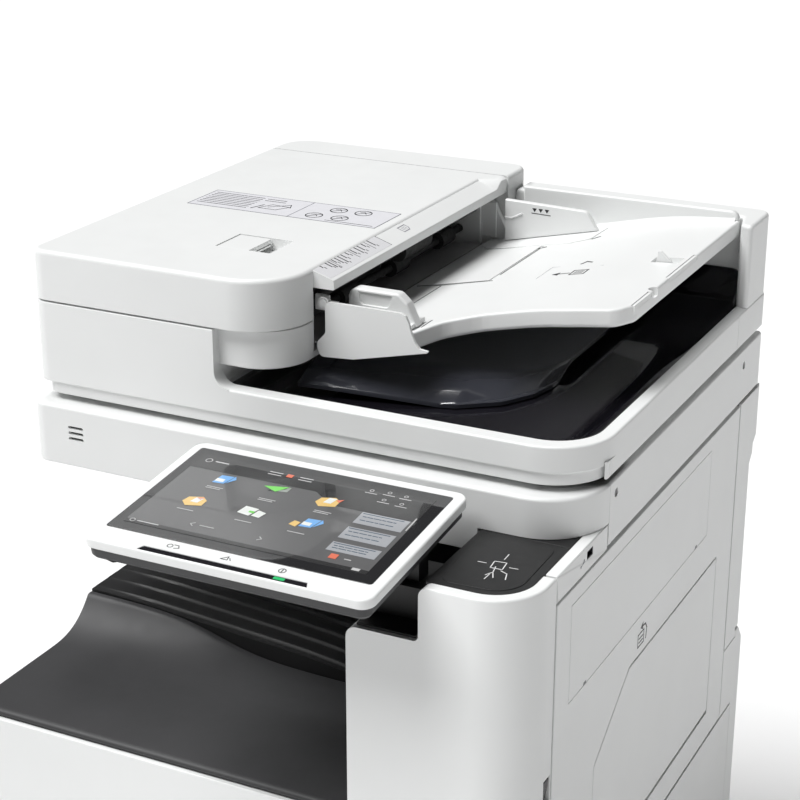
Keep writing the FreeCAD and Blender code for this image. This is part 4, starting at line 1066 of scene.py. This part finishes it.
def screen_art():
    """A plain home screen: dark bar, coloured task icons and three status cards."""
    left, right, low, high = -63.5, 164, 37, 166
    documents = ((-24, 131), (83, 92))
    bar = [[(left, 142), (62, 142), (86, 126), (right, 126), (right, high), (left, high)],
           rectangle(left, right, low, low + 5)]
    cards = [rectangle(116, 160, bottom, top) for bottom, top in CARDS]
    blue = [[(u - 6, v - 8), (u + 5, v - 7), (u + 8, v + 7), (u - 4, v + 6)] for u, v in documents]
    blue += [[(u + 6, v - 6), (u + 12, v + 3), (u + 9, v + 8)] for u, v in documents]
    pale = [rectangle(u - 5, u + 3, v - 5, v) for u, v in documents]
    pale += [[(18, 85), (30, 83), (33, 96), (20, 97)], [(32, 84), (40, 83), (42, 92), (34, 94)],
             [(77, 127), (84, 127), (86, 136), (79, 136)], [(-29, 86), (-22, 86), (-20, 94), (-27, 94)]]
    yellow = [[(70, 126), (76, 120), (90, 124), (90, 133), (84, 138), (72, 134)],
              [(-36, 85), (-30, 79), (-16, 83), (-16, 92), (-22, 97), (-34, 93)],
              [(68, 84), (75, 82), (76, 90), (70, 91)]]
    green = [[(16, 134), (38, 139), (30, 128)], rectangle(27, 32, 88, 91)]
    shadow = [[(22, 128), (40, 131), (40, 139), (34, 139), (30, 129)]]
    red = [rectangle(25, 31, 155, 160), rectangle(124, 131, 48, 55), [(-27, 94), (-20, 96), (-22, 91)],
           [(86, 134), (92, 137), (90, 131)]]
    shows = (("screen_backdrop", (0.105, 0.105, 0.107), 0.35, 0, [rectangle(left, right, low, high)]),
             ("screen_bar", (0.03, 0.03, 0.031), 0.25, 0.16, bar),
             ("screen_labels", (0.5, 0.5, 0.5), 0.3, 0.32, labels),
             ("screen_cards", (0.34, 0.35, 0.37), 0.3, 0.32, cards),
             ("screen_card_lines", (0.08, 0.12, 0.16), 0.2, 0.48, card_lines),
             ("icon_blue", (0.16, 0.36, 0.66), 0.42, 0.32, blue),
             ("icon_pale", (0.66, 0.68, 0.66), 0.4, 0.5, pale),
             ("icon_yellow", (0.66, 0.45, 0.16), 0.4, 0.32, yellow),
             ("icon_green", (0.16, 0.56, 0.1), 0.42, 0.52, green),
             ("icon_shadow", (0.3, 0.33, 0.3), 0.3, 0.32, shadow),
             ("icon_red", (0.62, 0.16, 0.1), 0.4, 0.5, red))
    for name, colour, glow, level, shapes in shows:
        marks = Marks(lambda u, v, height: on_panel(u, v, level - 0.2 + height))
        if callable(shapes):
            shapes(marks)
        else:
            for shape in shapes:
                marks.fill(shape)
        marks.done(name, ink(name, colour, 0.2, glow, 1.0), "panel", "screen")


# ---------------------------------------------------------------- front right column and card reader
COLUMN = Span("front_right_cover")
DECK = COLUMN.top
SHOULDER = 656
COLUMN_STEP = 188.5
FRONT_CORNER = 48
WALL = 3


def column():
    """Hollow front right column with its cut-away shoulder and the seat for the card reader pad."""
    seam_y = COLUMN.rear - 57.5
    right = COLUMN.right - WALL
    case = moulding(rectangle(COLUMN.left, COLUMN.right, COLUMN.front, seam_y, 0, FRONT_CORNER, 0, 0),
                    COLUMN.bottom, DECK, 2.2, 1, steps=5)
    step = [(COLUMN.left - 2, SHOULDER - 10)] + arc((COLUMN.left + 10, SHOULDER - 10), 10, 180, -90)
    step += arc((COLUMN_STEP - 5, SHOULDER + 5), 5, 270, 90) + arc((COLUMN_STEP + 9, DECK - 9), 9, 180, -90)
    step += [(COLUMN_STEP + 9, DECK + 3), (COLUMN.left - 2, DECK + 3)]
    case = carved(case, moulding(step, COLUMN.front - 2, COLUMN.rear, 0, axis="y"))
    case = softened(case, 1.8, lambda p: abs(p.y - COLUMN.front) < 0.05 and p.z > SHOULDER - 11 and p.x < 200)
    hollows = [moulding(rectangle(left + WALL, right, COLUMN.front + WALL, seam_y + 1, 0, 44, 0, 0),
                        low, high, 0)
               for left, low, high in ((COLUMN.left, COLUMN.bottom - 1, SHOULDER - 13),
                                       (COLUMN_STEP, SHOULDER - 14, DECK - 12))]
    hollows.append(block((COLUMN.left - 1, COLUMN_STEP), (COLUMN.front + 20, seam_y + 2),
                         (COLUMN.bottom - 1, DECK + 2)))
    switch_gap = block((COLUMN.right - 12, COLUMN.right + 1), (seam_y - 16, seam_y - 2), (497, 523))
    ledge = block((COLUMN_STEP, COLUMN.right - 11), (seam_y - 0.2, COLUMN.rear), (DECK - 8, DECK))
    pad = Span("card_reader_panel")
    seat = rectangle(COLUMN_STEP - 4, pad.right + 0.3, pad.front - 0.3, COLUMN.rear + 2, 0, 37.3, 0, 0)
    case = joined(carved(case, *hollows, switch_gap), ledge)
    shell(carved(case, moulding(seat, DECK - 3.4, DECK + 2, 0)), "front_right_cover")


def card_reader():
    """Black pad on the column's deck, with a plain picture, and the deck behind it."""
    pad = Span("card_reader_panel")
    left = COLUMN_STEP + 0.2
    slab = moulding(rectangle(left, pad.right, pad.front, COLUMN.rear, 5, 37, 0, 0), pad.bottom,
                    pad.top - 0.5, 0.5)
    step_plate = rounded((199, -264, 10), (264, -260, 26), (262, -167, 9), (194, -164, 9))
    step_plate = moulding(step_plate, pad.top - 0.8, pad.top, 0.35)
    shell(together(slab, step_plate), "card_reader_panel")
    deck = rectangle(left, pad.right, COLUMN.rear + 0.6, COLUMN.rear + 58)
    deck = moulding(deck, pad.bottom, pad.top - 0.6, 0.4)
    piece(deck, "deck_under_reader", BLACK, "machine")
    top = Marks(on_top(pad.top))
    top.line((226.5, -224), (225, -211.5), (235.5, -210.3), (237, -223.5), width=0.9, closed=True)
    for points in (((230, -221), (232, -231), (228.5, -238)), ((232, -231), (236, -240)),
                   ((237, -226), (243.5, -229), (246.5, -239))):
        top.line(*points, width=0.9)
    for start, end in (((213, -218), (220, -217.6)), ((230.6, -195), (231, -205)),
                       ((241, -217.4), (248, -217)), ((230.6, -245), (231, -236))):
        top.line(start, end, width=0.8)
    top.done("card_reader_icon", WHITE_INK, "machine", "black_tray")


def shoulder_liner():
    """Black lining of the column's cut-away shoulder, under the panel arm."""
    floor = SHOULDER + 0.2
    side = COLUMN_STEP - 0.3
    outline = [(COLUMN.left + 8, floor), (side - 5, floor)] + arc((side - 5, floor + 5), 5, 270, 90)
    outline += [(side, DECK - 9), (side - 2, DECK - 9)] + arc((side - 6, floor + 6), 4, 0, -90)
    outline += [(COLUMN.left + 8, floor + 2)]
    liner = moulding(outline, COLUMN.front + 4.5, COLUMN.rear - 60, 0.3, axis="y")
    piece(liner, "shoulder_liner", BLACK, "machine")


def right_band():
    """Band above the right door, with the USB port let into it."""
    band = Span("right_upper_cover")
    port = Span("usb_port")
    strip = rectangle(band.front, band.rear, band.bottom, band.top, 0.6)
    strip = moulding(strip, band.left, band.right, 0.9, 0, axis="x", steps=1)
    mouth = block((port.left, band.right + 1), (port.front, port.rear), (port.bottom, port.top))
    shell(carved(strip, mouth), "right_upper_cover", sharp=20)
    hollow = port.solid(left=1.5, right=1, front=0.8, rear=-0.8, bottom=1.1, top=-1.1)
    tongue = block((port.left + 1, port.right - 1.4), (port.front + 1.6, port.rear - 1.6),
                   (port.top - 3.2, port.top - 1.7))
    shell(together(carved(port.solid(), hollow), tongue), "usb_port")
    mark = Marks(on_right(band.right))
    y, z = port.front - 9, port.bottom - 0.5
    mark.line((y - 4, z), (y + 4, z + 1.6), width=0.5).line((y - 1, z + 0.6), (y + 1.5, z + 3.2), width=0.5)
    mark.ring((y - 4.6, z - 0.2), 0.8, 0.5).ring((y + 2.2, z + 3.6), 0.6, 0.5)
    mark.done("socket_mark", GREY_INK, "machine", "white_cover")


# ---------------------------------------------------------------- paper output space
INNER = Span("inner_tray")
SHELF_FLOOR = 476.2


def lip_height(x):
    """Height of the ridge where the shelf meets the ribbed tray; it falls away to the right."""
    crest, foot = INNER.top - 2.7, SHELF_FLOOR + 0.3
    fall = 1 / (1 + 2.718 ** (-(x + 128) / 26))
    return crest - (crest - foot) * fall - 3 * (x - INNER.left) / 404


def output_shelf():
    """Grey shelf in front, which sweeps up to the ridge."""
    shelf = Span("output_shelf")

    def plan(s, t):
        return shelf.left + (shelf.right - shelf.left) * s, shelf.front + (shelf.rear - shelf.front) * t

    def level(x, y):
        lift = min(lip_height(x), shelf.top) - SHELF_FLOOR
        rise = min(max((y + 160) / 72, 0), 1) ** 3.1
        nose = max(0.0, (shelf.front + 5 - y) / 5)
        return SHELF_FLOOR + lift * rise - 2.4 * nose ** 2

    shell(sheet_solid(plan, level, lambda x, y, z: shelf.bottom, 70, 90), "output_shelf", sharp=60)


def ribbed_tray():
    """Rear tray, whose ribs run across and fade out to the left and right."""
    top, bottom, front, rear = INNER.top, INNER.bottom, INNER.front, INNER.rear
    pitch, rib, count = 22.5, 3.0, 15
    stations = ((INNER.left, top, 0.2), (-268, top, 0.4), (-254, top, 1.0), (-240, top, 1.8),
                (-209, top - 1, 2.5), (-170, 505.5, rib), (-132, 502.5, rib), (-94, 499.5, rib),
                (-60, 497, rib), (-28, 494, rib), (5, 489.5, rib), (30, 485.5, rib), (60, 481, rib),
                (92, 478, rib * 0.7), (INNER.right, 476.4, 1))
    sections = []
    for x, crest, tall in stations:
        section = [(front, bottom), (front, crest - tall)]
        for index in range(count):
            y = front + 8 + index * pitch
            section += [(y - 1.6, crest - tall), (y - 0.3, crest - tall * 0.25), (y + 1, crest),
                        (y + 2.4, crest), (y + 5, crest - tall * 0.4), (y + 17, crest - tall * 0.95)]
        section = [point for point in section if point[0] <= rear]
        sections.append([(x, *point) for point in section + [(rear, crest - tall), (rear, bottom)]])
    shell(loft(sections), "inner_tray", sharp=40)
    wall = Span("left_cover").left
    slot_cover = block((wall + 4, wall + 29), (front + 14, front + 22), (top - 2.5, top - 1), 0.3)
    piece(slot_cover, "tray_slot_cover", DARK, "machine")


# ---------------------------------------------------------------- outer covers
SLANT_END = -24


def front_panel(node, slab, holes):
    """Front cover whose rounded right corner wraps back along the side."""
    cover = Span(node)
    inner = cover.front + slab
    outline = rounded((cover.left, cover.front), (cover.right, cover.front, FRONT_CORNER),
                      (cover.right, cover.rear), (cover.right - WALL, cover.rear),
                      (cover.right - WALL, inner, 34), (cover.left, inner))
    return carved(moulding(outline, cover.bottom, cover.top, 1.2), *holes)


def cassette_front(level, lines):
    """Cassette front with a grip hollow, a paper-size picture and a level gauge."""
    node = f"{level}_cassette_front"
    body_name = f"{level}_cassette"
    cover = Span(node)
    front, bottom = cover.front, cover.bottom
    low, high = bottom + 88, bottom + 118
    grip = moulding(rectangle(-75, 75, low, high, 7), front - 1, front + 11, 0, 3, axis="y")
    body = softened(front_panel(node, 16, [grip]), 1.2,
                    lambda p: abs(p.x) < 76 and p.y < front + 0.3 and low - 1 < p.z < high + 1)
    shell(body, node)
    lip = rounded((front + 1.5, high - 0.5), (front + 3.5, high - 7, 1), (front + 6, high - 0.5))
    piece(moulding(lip, -73, 73, 0.4, axis="x"), f"{level}_grip_lip", GREY, body_name)
    marks = Marks(on_front(front))
    x, z = cover.right - 84, bottom + 66
    marks.box(x - 9, x + 9, z - 6, z + 6, 0.8)
    for row in range(lines):
        marks.line((x - 6, z - 2 + 4 * row), (x + 6, z - 2 + 4 * row), width=1.0)
    marks.done(f"{level}_cassette_mark", GREY_INK, body_name, "white_cover")
    window = rectangle(cover.left + 30, cover.left + 36, bottom + 30, bottom + 86, 2.5)
    window = moulding(window, front - 0.25, front + 2, 0.3, axis="y")
    gauge = moulded(f"{level}_gauge", (0.1, 0.105, 0.11), 0.25)
    piece(window, f"{level}_level_gauge", gauge, body_name)


def front_door():
    cover = Span("front_door")
    front, bottom, top = cover.front, cover.bottom, cover.top
    sides = (-262, 225)
    pocket = block(sides, (front + 4, front + 19), (bottom + 10, top - 10))
    catch = block((150, 215), (front + 1.4, front + 5), (top - 9, top + 1))
    ribs = [block((x, x + 1.8), (front + 3.6, front + 12), (bottom + 9, top - 9))
            for x in (-180, -60, 60, 160)]
    ribs.append(block(sides, (front + 3.6, front + 11), (388, 390)))
    shell(together(front_panel("front_door", 18, [pocket, catch]), *ribs), "front_door")


def right_door():
    """Right door with the bypass tray's opening, a fine rectangular groove and its marks."""
    door = Span("right_door")
    tray = Span("bypass_tray")
    left, right = door.left, door.right
    low, high, front, rear = tray.bottom - 3.6, tray.top + 1.5, tray.front - 1.5, tray.rear + 1.5
    leaf = rectangle(door.front, door.rear, door.bottom, door.top, 2)
    leaf = moulding(leaf, left, right, 1.2, 0.3, axis="x")
    opening = rounded((front, low), (rear, low), (rear, high, 4), (SLANT_END, high, 9), (front, 470, 9))
    hole = moulding(opening, left - 1, right + 1, 0, axis="x")
    hollow = block((left - 1, right - 3), (door.front + 6, door.rear - 14), (556, 672))
    groove = carved(moulding(rectangle(-181, 199, 570.5, 664.5, 1), right - 0.9, right + 2, 0, axis="x"),
                    moulding(rectangle(-180.1, 198.1, 571.4, 663.6, 0.6), right - 3, right + 4, 0, axis="x"))

    def at_opening(p):
        return p.x > right - 0.1 and front - 0.5 < p.y < rear + 0.5 and low - 1 < p.z < high + 1

    shell(softened(carved(leaf, hole, hollow, groove), 0.8, at_opening), "right_door")
    tabs = [moulding([(y - 4, 570.8), (y + 4, 570.8), (y + 2.4, 574), (y - 2.4, 574)],
                     right - 0.4, right + 0.1, 0.1, axis="x") for y in (-143, 163)]
    piece(together(*tabs), "door_tabs", GREY, "side_door")
    flap = rounded((tray.front, tray.bottom, 3), (tray.rear, tray.bottom, 3), (tray.rear, tray.top, 3.4),
                   (SLANT_END - 0.6, tray.top, 8), (tray.front, 469.4, 8))
    shell(moulding(flap, tray.left, tray.right, 1.2, 0.5, axis="x"), "bypass_tray")
    picture = Marks(on_right(right))
    y, z = 6, 548
    picture.line((y - 10, z + 4), (y - 10, z - 9), (y + 6, z - 9), (y + 6, z + 4), (y - 10, z + 4), width=1.3)
    for row in (-5, -1):
        picture.line((y - 7, z + row), (y + 3, z + row), width=1.2)
    picture.line((y + 12, z - 8), (y + 14, z + 2), (y + 10, z + 8), (y + 2, z + 9), width=1.5)
    picture.fill([(y + 3, z + 13), (y - 4, z + 9), (y + 3, z + 5)])
    picture.done("bypass_picture", BLACK_INK, "side_door", "white_cover")


def right_lower_cover():
    cover = Span("right_lower_cover")
    outline = rectangle(cover.front, cover.rear, cover.bottom, cover.top, 1.5)
    shell(moulding(outline, cover.left, cover.right, 1.1, 0.3, axis="x"), "right_lower_cover")


def power_switch():
    """Rocker that stands out at its top, with a short white line."""
    switch = Span("power_switch")
    right, low, high = switch.right, switch.bottom, switch.top
    rocker = rounded((right - 6.8, low), (right - 3, low, 0.8), (right - 1, low + 10, 3), (right, high, 0.6),
                     (right - 6.8, high))
    shell(moulding(rocker, switch.front, switch.rear, 0.6, axis="y"), "power_switch")
    dot = Marks(on_right(right - 0.9))
    dot.line((-226, 513), (-226, 517), width=0.7)
    dot.done("switch_mark", WHITE_INK, "switch", "toner_plastic")


def louvres(axis, face, left, right, low, count):
    """Row of rounded vent slots cut through a face."""
    pitch, height = 9, 3.6
    levels = [low + pitch * index for index in range(count)]
    return [moulding(rectangle(left, right, level, level + height, 1.7), face - 3, face + 3, 0, axis=axis)
            for level in levels]


SCREW_PLACES = [(x, z) for x in (-262, 0, 258) for z in (420, 584)]


def rear_cover():
    """Stepped upper rear cover with closed ends, vents and screw holes."""
    cover = Span("rear_cover")
    back, deep, top = cover.rear - 19, cover.rear, cover.top
    outer = [(back, 402), (back, 596), (back + 9, 606), (back + 9, 616), (deep, 624), (deep, top)]
    inner = [(deep - 3, top), (deep - 3, 626), (back + 6, 618), (back + 6, 608), (back - 3, 598),
             (back - 3, 402)]
    sheet = moulding(outer + inner, cover.left, cover.right, 1, axis="x")
    step = [(back - 1, 598), (350, 608), (350, 618), (360, 626), (360, 680)]
    right_end = [(295, 391), (332.5, 391), (332.5, 402), (back - 1, 402)] + step + [(295, 680)]
    left_end = [(338.5, 600), (back - 1, 600)] + step[1:] + [(338.5, 680)]
    ends = [moulding(right_end, cover.right - 3, cover.right, 0.6, axis="x"),
            moulding(left_end, cover.left, cover.left + 3, 0.6, axis="x")]
    holes = [rod("y", place, 2.2, 338, 343, 0) for place in SCREW_PLACES]
    vents = louvres("y", back - 1.5, -210, -120, 440, 12) + louvres("y", back - 1.5, 110, 200, 470, 8)
    shell(carved(joined(sheet, *ends), *holes, *vents), "rear_cover")
    heads = []
    for x, z in SCREW_PLACES:
        head = rod("y", (x, z), 4.2, back, back + 2.2, 0.8)
        cross = [block((x - u, x + u), (back + 1.2, back + 3), (z - v, z + v))
                 for u, v in ((2.4, 0.4), (0.4, 2.4))]
        heads += [carved(head, *cross), rod("y", (x, z), 2, back - 8, back + 0.5, 0.3, 24)]
    shell(together(*heads), "cover_screws")


def lower_rear_cover():
    """Deep lower rear cover with vents and the sunken power inlet."""
    lower = Span("lower_rear_cover")
    bottom, rear, left, right = lower.bottom, lower.rear, lower.left, lower.right
    seam = Span("right_lower_cover").rear + 1
    outer = rounded((seam, bottom), (rear, bottom), (rear, 380, 4), (346, lower.top, 4), (seam, lower.top))
    inner = [(seam - 3, bottom - 1), (rear - 3, bottom - 1), (rear - 3, 378), (345, 395), (seam - 3, 395)]
    inlet = Span("power_inlet")
    margin = 9
    pad = rectangle(inlet.left - margin, inlet.right + margin, inlet.bottom - margin, inlet.top + margin, 3)
    cuts = [moulding(inner, left + 3, right - 3, 0, axis="x"),
            block((inlet.left, inlet.right), (rear - 10, rear + 1), (inlet.bottom, inlet.top)),
            moulding(pad, rear - 0.8, rear + 1, 0, axis="y")]
    cuts += louvres("y", rear - 1.5, -20, 90, 120, 14) + louvres("y", rear - 1.5, 150, 230, 246, 8)
    wing = moulding(rectangle(lower.front, seam + 6, 308, 390), right - 3, right, 0.8, 0, axis="x")
    shell(joined(carved(moulding(outer, left, right, 2, axis="x"), *cuts), wing), "lower_rear_cover")
    pins = [rod("y", (inlet.left + u, inlet.bottom + v), 1.6, inlet.front + 3.5, inlet.rear - 8, 0.5, 24)
            for u, v in ((10, 10), (16, 14.5), (22, 10))]
    piece(together(*pins), "inlet_pins", SHAFT, "machine")


def left_cover():
    """Left cover, open towards the output tray, with vents and a service panel's groove."""
    cover = Span("left_cover")
    left, right, front, rear, bottom, top = (cover.left, cover.right, cover.front, cover.rear, cover.bottom,
                                             cover.top)
    sheet = rounded((front, bottom, 3), (332, bottom, 2), (332, 400), (rear, 400, 2), (rear, top, 2),
                    (262, top, 2), (262, 470, 6), (front, 470, 4))
    groove = carved(moulding(rectangle(-235, 60, 60, 440, 5), left - 1, left + 0.8, 0, axis="x"),
                    moulding(rectangle(-234, 59, 61, 439, 4.2), left - 2, left + 2, 0, axis="x"))
    vents = louvres("x", left + 1, 120, 180, 250, 10) + louvres("x", left + 1, 200, 260, 250, 10)
    shell(carved(moulding(sheet, left, right, 0.4, 1.2, axis="x"), groove, *vents), "left_cover")


for build in (feeder_lid, lid_marks, slope_marks, platen_cover, feeder_works, rear_covers, dish_backboard,
              output_dish, dish_plate, document_tray, tray_details, tray_skirt, front_guide, rear_guide,
              tray_stopper, reader, panel_front, panel_housing, screen_art, column, card_reader,
              shoulder_liner, right_band, output_shelf, ribbed_tray, front_door, right_door,
              right_lower_cover, power_switch, rear_cover, lower_rear_cover, left_cover):
    build()
for drawer, sheets in (("lower", 2), ("upper", 1)):
    cassette_front(drawer, sheets)


# ---------------------------------------------------------------- studio
def sunlight(name, towards, strength, spread):
    """Distant soft light that shines from the given direction."""
    light = bpy.data.lights.new(name, "SUN")
    light.energy = strength
    light.angle = radians(spread)
    holder = bpy.data.objects.new(name, light)
    holder.location = towards
    holder.rotation_euler = (-Vector(towards)).to_track_quat("-Z", "Y").to_euler()
    bpy.context.scene.collection.objects.link(holder)


def studio():
    floor_size = 30
    bm = bmesh.new()
    bmesh.ops.create_grid(bm, x_segments=8, y_segments=8, size=floor_size)
    mesh = bpy.data.meshes.new("floor")
    bm.to_mesh(mesh)
    bm.free()
    floor = bpy.data.objects.new("floor", mesh)
    bpy.context.scene.collection.objects.link(floor)
    mesh.materials.append(moulded("floor_paint", (0.93, 0.93, 0.93), 0.7, grain=60, depth=0.1, drift=0.01))

    world = bpy.data.worlds.new("studio")
    world.use_nodes = True
    background = world.node_tree.nodes["Background"]
    background.inputs["Color"].default_value = (1, 1, 1, 1)
    background.inputs["Strength"].default_value = 0.06
    bpy.context.scene.world = world
    sunlight("overhead_light", (-0.33, -0.34, 0.88), 3.5, 36)
    sunlight("glint_light", (-0.2, 0.24, 0.93), 0.6, 14)

    camera = bpy.data.cameras.new("photo_view")
    viewer = bpy.data.objects.new("photo_view", camera)
    viewer.location = (0.781, -1.501, 1.384)
    heading, pitch = radians(26.51), radians(-20.9)
    viewer.rotation_euler = (pi / 2 + pitch, 0, heading)
    camera.lens = 84.73
    camera.sensor_width = 36
    bpy.context.scene.collection.objects.link(viewer)
    bpy.context.scene.camera = viewer
    bpy.context.scene.view_settings.view_transform = "Standard"


studio()
